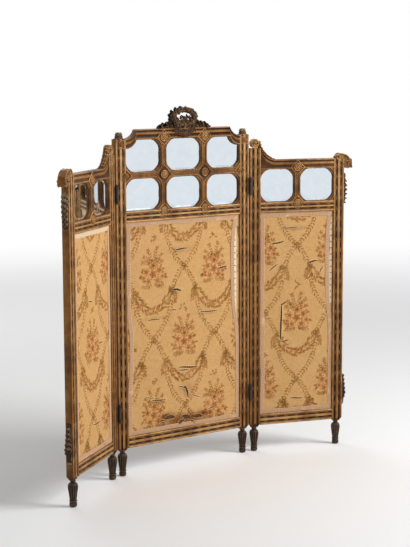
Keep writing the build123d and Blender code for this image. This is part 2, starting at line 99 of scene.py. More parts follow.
def grown(span, amount):
    """A span made longer by the same amount at both ends."""
    return (span[0] - amount, span[1] + amount)


def centre_place():
    """Place of the centre leaf, whose front face looks along -Y."""
    low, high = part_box("centre_fabric")
    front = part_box("centre_left_stile")[0].y
    return Matrix.Translation(((low.x + high.x) / 2, front, 0)) @ Matrix.Scale(MM, 4)


def side_place(hand):
    """Place of a side leaf, folded forward about its hinge pins."""
    joint = next(j for j in frame["joints"] if j["name"] == f"{hand}_leaf_fold")
    pin = Vector(joint["pos_m"])
    fold = -math.radians(joint["range_deg"][0])
    low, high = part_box(f"centre_{hand}_stile")
    gap = pin.x - high.x if hand == "right" else low.x - pin.x
    turn = Matrix.Rotation(-fold, 4, "Z") @ Matrix.Translation((gap, low.y - pin.y, 0))
    if hand == "left":
        turn = Matrix.Scale(-1, 4, (1, 0, 0)) @ turn
    return Matrix.Translation(pin) @ turn @ Matrix.Scale(MM, 4)


CENTRE = Leaf("centre", centre_place())
SIDES = [Leaf(hand, side_place(hand)) for hand in ("left", "right")]
LEAVES = [CENTRE] + SIDES


def srgb(red, green, blue):
    """A colour read on an eight-bit scale, as linear light with full opacity."""
    shares = (value / 255 for value in (red, green, blue))
    light = [s / 12.92 if s <= 0.04045 else ((s + 0.055) / 1.055) ** 2.4 for s in shares]
    return (*light, 1.0)


class ScreenWood(bpy.types.PropertyGroup):
    """Colours and carving sizes of the wood."""

    # Hollows are reached both by glaze and by painted shade in creases and on deep faces.
    hollow: FloatVectorProperty(
        name="Hollows", description="Dark glaze left in the hollows", subtype="COLOR", size=4,
        min=0, max=1, default=srgb(46, 28, 14))
    gilt: FloatVectorProperty(
        name="Gilding", description="Toned gilding on open faces", subtype="COLOR", size=4,
        min=0, max=1, default=srgb(104, 68, 34))
    # Bright gilding and worn edges are reached both by wear and by a painted highlight on proud
    # edges.
    bright: FloatVectorProperty(
        name="Bright gilding", description="Gilding rubbed bright on beads", subtype="COLOR",
        size=4, min=0, max=1, default=srgb(146, 102, 54))
    worn: FloatVectorProperty(
        name="Worn edges", description="Pale ground where the gilding is gone",
        subtype="COLOR", size=4, min=0, max=1, default=srgb(190, 152, 104))
    knot_pitch: FloatProperty(
        name="Ribbon pitch", description="Distance between ribbon turns in a channel, in mm",
        default=50, min=30, max=90)
    knot_length: FloatProperty(
        name="Ribbon length", description="Length of a ribbon turn along a channel, in mm",
        default=23, min=10, max=28)


class ScreenCloth(bpy.types.PropertyGroup):
    """Colours and repeat of the figured fabric."""

    ground: FloatVectorProperty(
        name="Ground", description="Gold ground of the fabric", subtype="COLOR", size=4,
        min=0, max=1, default=srgb(210, 170, 114))
    garland: FloatVectorProperty(
        name="Garlands", description="Olive brown of the garlands", subtype="COLOR", size=4,
        min=0, max=1, default=srgb(150, 104, 50))
    bloom: FloatVectorProperty(
        name="Flowers", description="Faded rose of the bouquets", subtype="COLOR", size=4,
        min=0, max=1, default=srgb(176, 112, 62))
    braid: FloatVectorProperty(
        name="Braid", description="Faded rose of the gimp", subtype="COLOR", size=4,
        min=0, max=1, default=srgb(186, 144, 106))
    repeat_width: FloatProperty(
        name="Repeat width", description="Width of one repeat of the figure, in mm",
        default=338, min=200, max=600)
    repeat_height: FloatProperty(
        name="Repeat height", description="Height of one repeat of the figure, in mm",
        default=650, min=300, max=900)
    pitch: FloatProperty(
        name="Thread grid", description="Spacing of the fabric's mesh, in mm", default=2.6,
        min=2, max=12)


class ScreenStage(bpy.types.PropertyGroup):
    """Floor, light and camera."""

    floor: FloatVectorProperty(
        name="Floor", description="Pale floor", subtype="COLOR", size=4, min=0, max=1,
        default=srgb(240, 240, 240))
    key_power: FloatProperty(
        name="Key light", description="Power of the large soft light", default=330, min=0,
        unit="POWER")
    fill_power: FloatProperty(
        name="Fill light", description="Power of the weak light on the left", default=30, min=0,
        unit="POWER")
    focal: IntProperty(
        name="Focal length", description="Distance to the picture, in its own pixels",
        default=1417, min=400, max=4000)


def add_node(tree, kind, inputs=None, **settings):
    """Adds a shader node, with its settings and the values or links of its sockets."""
    node = tree.nodes.new(kind)
    for name, value in settings.items():
        setattr(node, name, value)
    feed(node, inputs or {})
    return node


def feed(node, inputs):
    """Gives a shader node's sockets their values or links."""
    for name, value in inputs.items():
        if isinstance(value, bpy.types.NodeSocket):
            node.id_data.links.new(value, node.inputs[name])
        else:
            node.inputs[name].default_value = value


def new_material(name):
    """A material with nothing but its shader, and its node tree."""
    material = bpy.data.materials.new(f"{name}_finish")
    material.use_nodes = True
    tree = material.node_tree
    tree.nodes.clear()
    shader = add_node(tree, "ShaderNodeBsdfPrincipled")
    output = add_node(tree, "ShaderNodeOutputMaterial", {"Surface": shader.outputs["BSDF"]})
    output.target = "ALL"
    return material, tree, shader


def read(tree, name, output="Fac"):
    """A value that a mesh carries."""
    return add_node(tree, "ShaderNodeAttribute", attribute_name=name).outputs[output]


def calc(tree, operation, first, second=0.0, third=0.0):
    """One sum of two or three numbers."""
    return add_node(tree, "ShaderNodeMath", {0: first, 1: second, 2: third},
                    operation=operation).outputs[0]


def scaled(tree, vector, scale):
    """Coordinates drawn out or packed closer along each axis."""
    return add_node(tree, "ShaderNodeMapping", {"Vector": vector, "Scale": scale}).outputs[0]


def noise(tree, vector, scale, detail=3.0, roughness=0.55, distortion=0.0):
    """Cloudy noise between 0 and 1."""
    node = add_node(tree, "ShaderNodeTexNoise", {
        "Vector": vector, "Scale": scale, "Detail": detail, "Roughness": roughness,
        "Distortion": distortion})
    return node.outputs["Fac"]


def ramp(tree, value, stops):
    """Colours or greys along a value."""
    node = add_node(tree, "ShaderNodeValToRGB", {"Fac": value})
    elements = node.color_ramp.elements
    elements[0].position, elements[0].color = stops[0]
    elements[1].position, elements[1].color = stops[-1]
    for position, colour in stops[1:-1]:
        elements.new(position).color = colour
    return node.outputs["Color"]


def mix(tree, factor, first, second, blend="MIX"):
    """Two colours mixed by a factor."""
    node = tree.nodes.new("ShaderNodeMix")
    node.data_type = "RGBA"
    node.blend_type = blend
    for name, value in (("Factor_Float", factor), ("A_Color", first), ("B_Color", second)):
        socket = next(s for s in node.inputs if s.identifier == name)
        if isinstance(value, bpy.types.NodeSocket):
            tree.links.new(value, socket)
        else:
            socket.default_value = value
    return next(s for s in node.outputs if s.identifier == "Result_Color")


def bump(tree, height, distance, strength=1.0):
    """A normal bent by a height, whose full step is a distance in metres."""
    return add_node(tree, "ShaderNodeBump", {
        "Height": height, "Distance": distance, "Strength": strength}).outputs["Normal"]


def step(tree, value, low, high):
    """A value turned into a smooth 0 to 1 between two places."""
    return add_node(tree, "ShaderNodeMapRange", {
        "Value": value, "From Min": low, "From Max": high}, interpolation_type="SMOOTHSTEP",
        clamp=True).outputs["Result"]


def wood_material(name, stops, roughness, gold, grime):
    """Glazed and rubbed wood, dark in its hollows from glaze and painted shade, and pale along its
    edges from wear and a painted highlight.
    """
    material, tree, shader = new_material(name)
    place = read(tree, "place", "Vector")
    grain = noise(tree, scaled(tree, place, (0.35, 0.35, 0.014)), 1.0, 5.0, 0.6, 0.4)
    rubbing = noise(tree, place, 0.045, 5.0, 0.62)
    patches = noise(tree, place, 0.009, 2.0, 0.5)
    specks = noise(tree, place, 0.4, 2.0, 0.7)
    # The level starts from the relief: painted shade in creases, a painted highlight on proud
    # edges.
    level = calc(tree, "MULTIPLY_ADD", calc(tree, "SUBTRACT", rubbing, 0.5), 0.42,
                 read(tree, "relief"))
    level = calc(tree, "MULTIPLY_ADD", calc(tree, "SUBTRACT", grain, 0.5), 0.3, level)
    level = calc(tree, "MULTIPLY_ADD", calc(tree, "SUBTRACT", specks, 0.5), 0.16, level)
    colour = ramp(tree, level, stops)
    dull = step(tree, patches, 0.42, 0.66)
    colour = mix(tree, calc(tree, "MULTIPLY", dull, grime), colour, srgb(120, 74, 42), "MULTIPLY")
    shine = step(tree, level, 0.5, 0.85)
    rough = calc(tree, "MULTIPLY_ADD", specks, 0.25, roughness)
    height = calc(tree, "MULTIPLY_ADD", grain, 0.6, calc(tree, "MULTIPLY", specks, 0.4))
    feed(shader, {
        "Base Color": colour, "Specular IOR Level": 0.14,
        "Metallic": calc(tree, "MULTIPLY", shine, gold),
        "Roughness": calc(tree, "MULTIPLY_ADD", shine, -0.12, rough),
        "Normal": bump(tree, height, 0.0005, 0.8)})
    return material


def gilt_wood():
    """Toned gilding over brown wood."""
    wood = bpy.context.scene.screen_wood
    return wood_material("gilt_wood", (
        (0.05, tuple(wood.hollow)), (0.30, srgb(78, 48, 23)), (0.52, tuple(wood.gilt)),
        (0.74, tuple(wood.bright)), (0.98, tuple(wood.worn))), 0.44, 0.32, 0.5)


def carved_wood():
    """Carved wood, browner and dustier than the mouldings."""
    return wood_material("carved_wood", (
        (0.10, srgb(18, 11, 7)), (0.36, srgb(44, 29, 18)), (0.60, srgb(76, 53, 35)),
        (0.80, srgb(124, 98, 71)), (0.98, srgb(200, 180, 150))), 0.42, 0.15, 0.4)


def dark_wood():
    """Dark polished wood of the feet."""
    return wood_material("dark_wood", (
        (0.12, srgb(16, 10, 7)), (0.42, srgb(44, 31, 23)), (0.60, srgb(70, 54, 42)),
        (0.84, srgb(112, 92, 74))), 0.3, 0.0, 0.4)


def board_wood():
    """Plain sawn board."""
    return wood_material("backboard_wood", (
        (0.25, srgb(88, 62, 40)), (0.5, srgb(126, 94, 62)), (0.8, srgb(158, 124, 86))),
        0.62, 0.0, 0.35)


def mirror_material():
    """Old silvered glass, foxed near its rim."""
    material, tree, shader = new_material("mirror_glass")
    place = read(tree, "place", "Vector")
    rim = read(tree, "rim")
    spots = noise(tree, place, 0.16, 4.0, 0.75)
    clouds = noise(tree, place, 0.035, 3.0, 0.6)
    near = calc(tree, "SUBTRACT", 1.0, step(tree, rim, 0.0, 18.0))
    foxed = calc(tree, "MULTIPLY_ADD", near, 0.12, spots)
    foxed = step(tree, foxed, 0.70, 0.76)
    silver = mix(tree, clouds, srgb(228, 235, 240), srgb(210, 220, 228))
    colour = mix(tree, foxed, silver, srgb(74, 66, 58))
    rough = calc(tree, "MULTIPLY_ADD", foxed, 0.4, calc(tree, "MULTIPLY", clouds, 0.06))
    feed(shader, {"Base Color": colour, "Metallic": 1.0, "Roughness": rough})
    return material


def fabric_material():
    """Worn figured weave: garlands and bouquets on a gold ground."""
    cloth = bpy.context.scene.screen_cloth
    material, tree, shader = new_material("figured_fabric")
    place = read(tree, "place", "Vector")
    slub = noise(tree, scaled(tree, place, (0.05, 1, 1.1)), 1.0, 2.0, 0.6)
    warp = noise(tree, scaled(tree, place, (1.0, 1, 0.05)), 1.0, 2.0, 0.6)
    cloud = noise(tree, place, 0.006, 4.0, 0.6)
    fray = noise(tree, place, 0.22, 4.0, 0.7)
    fine = noise(tree, place, 0.6, 2.0, 0.6)
    edge = calc(tree, "MULTIPLY", calc(tree, "SUBTRACT", fray, 0.5), 5.0)

    def figure(name, softness=0.9):
        field = calc(tree, "ADD", read(tree, name), edge)
        return step(tree, field, -softness, softness)

    ghost = noise(tree, place, 0.08, 3.0, 0.6, 1.6)
    ground = mix(tree, cloud, tuple(cloth.ground), srgb(222, 186, 134))
    ground = mix(tree, calc(tree, "MULTIPLY", step(tree, ghost, 0.5, 0.62), 0.45), ground,
                 srgb(186, 142, 84))
    ground = mix(tree, calc(tree, "MULTIPLY", step(tree, slub, 0.35, 0.7), 0.35), ground,
                 srgb(190, 140, 80))
    leaf = mix(tree, step(tree, fine, 0.35, 0.65), tuple(cloth.garland), srgb(176, 128, 66))
    leaf = mix(tree, figure("garland_shade", 0.7), leaf, srgb(104, 68, 30))
    bloom = mix(tree, step(tree, fine, 0.3, 0.7), tuple(cloth.bloom), srgb(198, 140, 86))
    bloom = mix(tree, figure("bloom_shade", 0.6), bloom, srgb(138, 82, 44))
    bloom = mix(tree, figure("bloom_light", 0.6), bloom, srgb(222, 180, 130))
    wear = step(tree, noise(tree, place, 0.02, 5.0, 0.7), 0.66, 0.40)
    colour = mix(tree, calc(tree, "MULTIPLY", figure("garland"), calc(
        tree, "MULTIPLY_ADD", wear, 0.4, 0.55)), ground, leaf)
    colour = mix(tree, calc(tree, "MULTIPLY", figure("bloom"), calc(
        tree, "MULTIPLY_ADD", wear, 0.3, 0.62)), colour, bloom)
    thread = calc(tree, "MULTIPLY_ADD", calc(tree, "SUBTRACT", slub, 0.5), 0.5,
                  calc(tree, "MULTIPLY", calc(tree, "SUBTRACT", warp, 0.5), 0.3))
    colour = mix(tree, step(tree, thread, 0.3, -0.3), colour, srgb(196, 176, 150), "MULTIPLY")
    grime = calc(tree, "MULTIPLY", read(tree, "stain"), step(tree, calc(
        tree, "ADD", noise(tree, place, 0.03, 5.0, 0.65), read(tree, "stain")), 0.55, 1.25))
    colour = mix(tree, grime, colour, srgb(150, 104, 60), "MULTIPLY")
    slit = read(tree, "slit")
    # Painted highlight on the lifted lips round each tear.
    colour = mix(tree, calc(tree, "MULTIPLY", step(tree, slit, -5.0, -0.6), 0.42), colour,
                 srgb(222, 190, 142))
    # Painted shade inside the narrow slits of the tears.
    colour = mix(tree, step(tree, slit, -0.6, 0.4), colour, srgb(52, 32, 18))
    colour = mix(tree, read(tree, "bare"), colour, srgb(212, 196, 168))
    colour = mix(tree, step(tree, read(tree, "tack"), -0.8, 0.8), colour, srgb(70, 50, 36))
    height = calc(tree, "MULTIPLY_ADD", figure("garland"), 0.35, thread)
    height = calc(tree, "MULTIPLY_ADD", figure("bloom"), 0.35, height)
    feed(shader, {"Base Color": colour, "Roughness": 0.85, "Specular IOR Level": 0.1,
                  "Normal": bump(tree, height, 0.0009, 0.8)})
    return material


def cloth_material(name, pale, dark, coarseness, depth):
    """Plain weave with uneven threads."""
    material, tree, shader = new_material(name)
    place = read(tree, "place", "Vector")
    across = noise(tree, scaled(tree, place, (0.04, 1, coarseness)), 1.0, 2.0, 0.6)
    down = noise(tree, scaled(tree, place, (coarseness, 1, 0.04)), 1.0, 2.0, 0.6)
    cloud = noise(tree, place, 0.008, 4.0, 0.6)
    weave = calc(tree, "MULTIPLY_ADD", across, 0.5, calc(tree, "MULTIPLY", down, 0.5))
    level = calc(tree, "MULTIPLY_ADD", cloud, 0.5, calc(tree, "MULTIPLY", weave, 0.5))
    feed(shader, {"Base Color": ramp(tree, level, ((0.36, dark), (0.62, pale))),
                  "Roughness": 0.85, "Specular IOR Level": 0.2,
                  "Normal": bump(tree, weave, depth, 0.9)})
    return material


def braid_material():
    """Faded rose braid with painted shade between its cords and a painted highlight on their tops,
    and bare tape where it has worn through.
    """
    cloth = bpy.context.scene.screen_cloth
    material, tree, shader = new_material("gimp_braid")
    place = read(tree, "place", "Vector")
    relief = read(tree, "relief")
    fine = noise(tree, place, 0.7, 3.0, 0.6)
    worn = noise(tree, place, 0.02, 4.0, 0.6)
    # The braid's height as relief paints shade between the cords and light on their tops.
    level = calc(tree, "MULTIPLY_ADD", calc(tree, "SUBTRACT", fine, 0.5), 0.5, relief)
    colour = ramp(tree, level, ((0.12, srgb(126, 88, 60)), (0.5, tuple(cloth.braid)),
                                (0.85, srgb(214, 182, 144))))
    colour = mix(tree, calc(tree, "MULTIPLY", step(tree, worn, 0.56, 0.74), 0.6), colour,
                 srgb(214, 186, 152))
    colour = mix(tree, read(tree, "bare"), colour, srgb(198, 174, 140))
    feed(shader, {"Base Color": colour, "Roughness": 0.8, "Sheen Weight": 0.15,
                  "Normal": bump(tree, fine, 0.0006, 0.9)})
    return material


def metal_material(name, dark, pale, roughness, metallic):
    """Aged metal, read on the frame's own coordinates."""
    material, tree, shader = new_material(name)
    place = add_node(tree, "ShaderNodeTexCoord").outputs["Object"]
    rust = noise(tree, place, 90.0, 5.0, 0.65)
    feed(shader, {"Base Color": ramp(tree, rust, ((0.35, dark), (0.62, pale))),
                  "Metallic": metallic,
                  "Roughness": calc(tree, "MULTIPLY_ADD", rust, 0.3, roughness),
                  "Normal": bump(tree, rust, 0.0004, 0.7)})
    return material


def hessian_material():
    """Coarse brown lining cloth."""
    return cloth_material("hessian", srgb(122, 86, 52), srgb(66, 42, 24), 0.9, 0.0012)


def back_cloth_material():
    """Plain cotton cloth on the back."""
    return cloth_material("back_cloth", srgb(176, 150, 112), srgb(140, 114, 80), 1.6, 0.0006)


def iron_material():
    """Dark aged iron."""
    return metal_material("hinge_iron", srgb(34, 30, 28), srgb(70, 62, 54), 0.4, 0.7)


def steel_material():
    """Aged steel."""
    return metal_material("screw_steel", srgb(74, 68, 62), srgb(120, 112, 102), 0.32, 0.85)


FINISHES = {
    "gilt_wood": gilt_wood, "carved_wood": carved_wood, "dark_wood": dark_wood,
    "backboard_wood": board_wood, "mirror_glass": mirror_material,
    "figured_fabric": fabric_material, "hessian": hessian_material,
    "gimp_braid": braid_material, "back_cloth": back_cloth_material,
    "hinge_iron": iron_material, "screw_steel": steel_material,
}


MADE = {}


def finish_of(slot):
    """The material for one of the record's slots, made the first time it is asked for."""
    if slot not in MADE:
        MADE[slot] = FINISHES[slot]()
    return MADE[slot]


def mark(mesh, name, values):
    """Writes one number or one vector for every vertex of a mesh."""
    values = np.asarray(values, np.float32)
    kind = "FLOAT_VECTOR" if values.ndim == 2 else "FLOAT"
    attribute = mesh.attributes.get(name) or mesh.attributes.new(name, kind, "POINT")
    attribute.data.foreach_set("vector" if values.ndim == 2 else "value", values.ravel())


def points_of(mesh):
    """The places of a mesh's vertices."""
    places = np.zeros(len(mesh.vertices) * 3, np.float32)
    mesh.vertices.foreach_get("co", places)
    return places.reshape(-1, 3).astype(float)


def proudness(mesh, points):
    """How far each vertex stands out of its neighbours: 0 in a crease, 1 on an edge."""
    normals = np.zeros(len(points) * 3, np.float32)
    mesh.vertices.foreach_get("normal", normals)
    normals = normals.reshape(-1, 3)
    ends = np.zeros(len(mesh.edges) * 2, np.int32)
    mesh.edges.foreach_get("vertices", ends)
    first, second = ends.reshape(-1, 2).T
    way = points[second] - points[first]
    way /= np.maximum(np.linalg.norm(way, axis=1), 1e-6)[:, None]
    bend = np.zeros(len(points))
    count = np.zeros(len(points))
    np.add.at(bend, first, (way * normals[first]).sum(1))
    np.add.at(bend, second, -(way * normals[second]).sum(1))
    np.add.at(count, first, 1)
    np.add.at(count, second, 1)
    return np.clip(0.5 - 0.9 * bend / np.maximum(count, 1), 0, 1)


def add_piece(leaf, name, bm, slot, replaced, shade=None, lying=False, crease=35, extras=None,
              closed=True):
    """Turns a carved bmesh, in a leaf's own sizes, into a piece that rides on the leaf.

    shade gives a vertex's painted shade from its place, a painted brightening where it is
    below zero, and lying turns the grain along s."""
    if closed:
        bmesh.ops.recalc_face_normals(bm, faces=bm.faces)
    for edge in bm.edges:
        edge.smooth = edge.calc_face_angle(0.0) < math.radians(crease)
    for face in bm.faces:
        face.smooth = True
    mesh = bpy.data.meshes.new(name)
    bm.to_mesh(mesh)
    bm.free()
    points = points_of(mesh)
    mark(mesh, "place", points[:, [2, 1, 0]] if lying else points)
    # Relief picks the wood's colour: painted shade in creases, a painted highlight on proud edges.
    relief = proudness(mesh, points)
    if shade is not None:
        relief = np.clip(relief - shade(points), 0, 1)
    mark(mesh, "relief", relief)
    for key, values in (extras or {}).items():
        mark(mesh, key, values)
    mesh.transform(leaf.place)
    if leaf.flipped:
        mesh.flip_normals()
    piece = bpy.data.objects.new(f"shown_{leaf.name}_{name}", mesh)
    bpy.context.scene.collection.objects.link(piece)
    mesh.materials.append(finish_of(slot))
    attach(piece, leaf.body)
    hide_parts(*(f"{leaf.name}_{node}" for node in replaced))
    return piece


def stamp(bm, pattern, place):
    """Copies a small carved pattern into a piece."""
    before = len(bm.verts)
    bm.from_mesh(pattern)
    bm.verts.ensure_lookup_table()
    bmesh.ops.transform(bm, matrix=place, verts=bm.verts[before:])


def keep_pattern(name, bm):
    """Stores a pattern that is stamped many times."""
    bmesh.ops.recalc_face_normals(bm, faces=bm.faces)
    mesh = bpy.data.meshes.new(name)
    bm.to_mesh(mesh)
    bm.free()
    return mesh


def join(bm, part, place=Matrix()):
    """Adds a part to a piece, at its place, once."""
    mesh = keep_pattern("part", part)
    stamp(bm, mesh, place)
    bpy.data.meshes.remove(mesh)


def only(geometry, kind):
    """The elements of one kind that an operator has made."""
    return [item for item in geometry if isinstance(item, kind)]


def look_forward(bm):
    """Turns a part that was made about the z axis to look along -Y."""
    bmesh.ops.rotate(bm, verts=bm.verts, matrix=Matrix.Rotation(math.radians(90), 3, "X"))


def face_forward(bm):
    """Turns every face of an open sheet to look along -Y."""
    for face in bm.faces:
        face.normal_update()
        if face.normal.y > 0:
            face.normal_flip()


def inset_steps(bm, face, steps):
    """Insets a face again and again, each time by a width and a rise."""
    for thickness, depth in steps:
        bmesh.ops.inset_region(bm, faces=[face], thickness=thickness, depth=depth,
                               use_boundary=True, use_even_offset=True)


def turned(bm, outline, steps):
    """Turns an outline of (radius, height) points about the z axis, and closes its poles."""
    verts = [bm.verts.new((radius, 0, height)) for radius, height in outline]
    edges = [bm.edges.new(pair) for pair in zip(verts, verts[1:])]
    bmesh.ops.spin(bm, geom=verts + edges, cent=(0, 0, 0), axis=(0, 0, 1), angle=2 * math.pi,
                   steps=steps, use_merge=True)
    bmesh.ops.remove_doubles(bm, verts=bm.verts, dist=0.0005)


PETALS = 5


def flower_pattern():
    """An open flower of radius 1 that looks along -Y."""
    rings = ((0.0, 0.46, 0), (0.10, 0.44, 0), (0.15, 0.30, 0), (0.24, 0.50, 1), (0.40, 0.44, 1),
             (0.50, 0.26, 1), (0.62, 0.36, 0), (0.86, 0.22, 0), (0.98, 0.04, 0), (0.9, -0.3, 0))
    bm = bmesh.new()
    turned(bm, [(radius, height) for radius, height, _ in rings], PETALS * 6)
    phases = {round(height, 3): phase for _, height, phase in rings}
    for vert in bm.verts:
        radius = math.hypot(vert.co.x, vert.co.y)
        if radius < 0.2:
            continue
        angle = math.atan2(vert.co.y, vert.co.x)
        wave = math.cos(PETALS * angle + math.pi * phases[round(vert.co.z, 3)])
        vert.co.x *= 1 + 0.11 * wave
        vert.co.y *= 1 + 0.11 * wave
        vert.co.z += 0.09 * wave * radius
    look_forward(bm)
    return keep_pattern("flower", bm)


def leaf_pattern(name, lobes, curl, width=0.34, columns=8, rows=16):
    """A lobed leaf one unit long along +Z that faces -Y and curls forward at its tip."""
    bm = bmesh.new()
    bmesh.ops.create_grid(bm, x_segments=columns, y_segments=rows, size=1)
    spine = [Vector((0, 0, 0))]
    fine = 200
    for index in range(fine):
        share = (index + 0.5) / fine
        lean = -0.1 + curl * share ** 2.6
        spine.append(spine[-1] + Vector((0, -math.sin(lean), math.cos(lean))) / fine)
    for vert in bm.verts:
        across, along = vert.co.x, (vert.co.y + 1) / 2
        base = spine[round(along * fine)]
        lean = -0.1 + curl * along ** 2.6
        out = Vector((0, -math.cos(lean), -math.sin(lean)))
        swell = math.sin(math.pi * (0.16 + 0.78 * along)) ** 0.9
        lobe = 1 + 0.22 * math.cos(2 * math.pi * lobes * (along + 0.12 * abs(across)))
        half = width * swell * (lobe if abs(across) > 0.55 else 1)
        rib = 0.05 * math.exp(-(across / 0.16) ** 2)
        vein = 0.028 * math.cos(2 * math.pi * lobes * (along - 0.2 * abs(across)) + math.pi)
        fold = 0.16 * abs(across) ** 1.6
        lift = (rib + vein * min(1, abs(across) * 2) - fold) * (0.5 + 0.5 * swell)
        vert.co = base + Vector((across * half, 0, 0)) + out * lift
    bmesh.ops.solidify(bm, geom=bm.faces[:], thickness=0.055)
    return keep_pattern(name, bm)


def ribbon_pattern():
    """A turn of ribbon, one unit long and one unit wide, lying along +Z and rising to -Y."""
    bm = bmesh.new()
    bmesh.ops.create_grid(bm, x_segments=4, y_segments=8, size=0.5)
    for vert in bm.verts:
        across, along = vert.co.x, vert.co.y
        dome = math.sqrt(max(0, 1 - (1.9 * along) ** 2) * max(0, 1 - (1.9 * across) ** 2))
        fold = 0.72 + 0.28 * math.cos(math.pi * 4 * (along + 0.35 * across))
        vert.co = Vector((across, -dome * fold, along))
    return keep_pattern("ribbon", bm)


PATTERNS = {}


def pattern(name):
    """A stored pattern, made the first time it is asked for."""
    makers = {
        "flower": flower_pattern,
        "ribbon": ribbon_pattern,
        "acanthus": lambda: leaf_pattern("acanthus", 4, 2.3),
        "slim_leaf": lambda: leaf_pattern("slim_leaf", 3, 1.2, 0.22, 6, 12),
        "small_leaf": lambda: leaf_pattern("small_leaf", 2, 0.9, 0.30, 4, 8),
    }
    if name not in PATTERNS:
        PATTERNS[name] = makers[name]()
    return PATTERNS[name]


def facing(place, size, angle=0.0, tilt=0.0, swing=0.0):
    """Places a pattern: turned in the front plane from +Z towards +s, tipped and swung."""
    return (Matrix.Translation(place) @ Matrix.Rotation(math.radians(swing), 4, "Z")
            @ Matrix.Rotation(math.radians(angle), 4, "Y")
            @ Matrix.Rotation(math.radians(tilt), 4, "X") @ Matrix.Diagonal((*size, 1)))


def lay(bm, name, place, size, angle=0.0, tilt=0.0, swing=0.0):
    """Lays one copy of a stored pattern on a piece."""
    stamp(bm, pattern(name), facing(place, size, angle, tilt, swing))


# Mouldings. A half outline goes from an edge to the middle, as (distance from edge, t)
HALF_MOULDING = ((0, 3.4), (0.7, 1.7), (2.4, 0.5), (4.6, 0.1), (6.8, 0.6), (8.3, 2.0),
                 (9.6, 2.4), (11.4, 1.9), (12.2, 4.6), (20.4, 4.6), (21.2, 1.4), (22.0, 0.5))
TOP_OUTLINE = ((0, 3.0), (0.8, 1.4), (2.8, 0.5), (5.0, 0.6), (6.6, 2.0), (7.6, 3.6), (11, 4.8),
               (15, 4.6), (18.5, 3.2), (20.5, 1.4), (23, 0.5), (26, 0.4), (29, 1.2), (31, 2.8),
               (33, 4.4), (36, 4.7), (38.2, 3.6), (39, 1.2), (40.6, -0.4), (42.6, -0.6),
               (44.4, 0.2), (45, 2.0))
CHANNEL_MIDDLE = 16.3
CHANNEL_WIDTH = 8.2
CHANNEL_FLOOR = 4.6
BACK_ROUND = 1.5
TAPER_HEIGHT = 16.0
TAPER_SHARE = 0.36


def moulding_outline(width, depth):
    """The whole outline of a moulded bar, front and back."""
    far = [(width - v, t) for v, t in reversed(HALF_MOULDING)]
    back = [(width, depth - BACK_ROUND), (width - BACK_ROUND, depth), (BACK_ROUND, depth),
            (0, depth - BACK_ROUND)]
    return list(HALF_MOULDING) + [(width / 2, 0.0)] + far + back


def top_outline(depth):
    """The whole outline of a top rail, front and back, from its lower edge up."""
    high = TOP_OUTLINE[-1][0]
    return list(TOP_OUTLINE) + [(high, depth - BACK_ROUND), (high - BACK_ROUND, depth),
                                (BACK_ROUND, depth), (0, depth - BACK_ROUND)]


def rounded(spot):
    """A spot by which a vertex can be found again."""
    return tuple(round(value, 3) for value in spot)


def run_moulding(bm, outline, place, stations):
    """Carries an outline through stations and closes both ends. place gives a point's spot."""
    face = bm.faces.new([bm.verts.new(place(point, stations[0])) for point in outline])
    for before, after in zip(stations, stations[1:]):
        made = bmesh.ops.extrude_face_region(bm, geom=[face])["geom"]
        face = only(made, bmesh.types.BMFace)[0]
        moves = {rounded(place(point, before)): place(point, after) for point in outline}
        for vert in only(made, bmesh.types.BMVert):
            vert.co = moves[rounded(vert.co)]


def moulding_shade(points):
    """Painted shade in a moulded face's hollows by their depth, a slight painted highlight on its
    frontmost faces and painted shade on its sides and back.
    """
    depth = np.clip((points[:, 1] - 1.0) / (CHANNEL_FLOOR - 1.0), 0, 1)
    front = points[:, 1] < CHANNEL_FLOOR + 0.5
    return np.where(front, 0.25 * depth - 0.06 * (depth < 0.05), 0.14)


def ribbon_run(bm, start, end, angle=0.0):
    """Turns of ribbon along a channel between two places on its floor."""
    wood = bpy.context.scene.screen_wood
    way = end - start
    count = max(1, round(way.length / wood.knot_pitch))
    size = (CHANNEL_WIDTH, 3.9, wood.knot_length)
    for index in range(count):
        spot = start + way * ((index + 0.5) / count)
        lay(bm, "ribbon", (spot.x, CHANNEL_FLOOR, spot.z), size, angle)


def stile_piece(leaf, name, outer, inner, high, knots_high):
    """One moulded stile with a turned-in end at its foot and ribbons in both channels."""
    depth = leaf.extent(name)[1][1]
    low = leaf.extent(name)[2][0]
    width = abs(inner - outer)
    way = 1 if inner > outer else -1
    outline = moulding_outline(width, depth)

    def place(point, station):
        height, share = station
        middle = Vector((width / 2, depth / 2, 0))
        spot = Vector((point[0], point[1], 0))
        spot = middle + (spot - middle) * share
        return Vector((outer + way * spot.x, spot.y, height))

    bm = bmesh.new()
    neck = low + TAPER_HEIGHT
    stations = [(low, 1 - TAPER_SHARE), (low + TAPER_HEIGHT / 3, 1 - TAPER_SHARE * 0.82),
                (low + TAPER_HEIGHT * 0.7, 1 - TAPER_SHARE * 0.3), (neck, 1.0), (high, 1.0)]
    run_moulding(bm, outline, place, stations)
    for v in (CHANNEL_MIDDLE, width - CHANNEL_MIDDLE):
        s = outer + way * v
        ribbon_run(bm, Vector((s, 0, leaf.cloth_z[0])), Vector((s, 0, knots_high)))
    return bm


def rail_piece(leaf, low, high):
    """One moulded rail between the stiles with ribbons in both channels."""
    s = leaf.opening
    outline = moulding_outline(high - low, FRAME_DEPTH)

    def place(point, station):
        return Vector((station, point[1], low + point[0]))

    bm = bmesh.new()
    run_moulding(bm, outline, place, list(s))
    for v in (CHANNEL_MIDDLE, high - low - CHANNEL_MIDDLE):
        ribbon_run(bm, Vector((s[0], 0, low + v)), Vector((s[1], 0, low + v)), angle=90)
    return bm


# Shapes of the top rails
SHOULDER_INSET = 57.0
SHOULDER_SAG = 11.0
SWEEP_WIDTH = 76.0
SWEEP_SAG = 14.0
TOP_RAIL_HEIGHT = 45.0


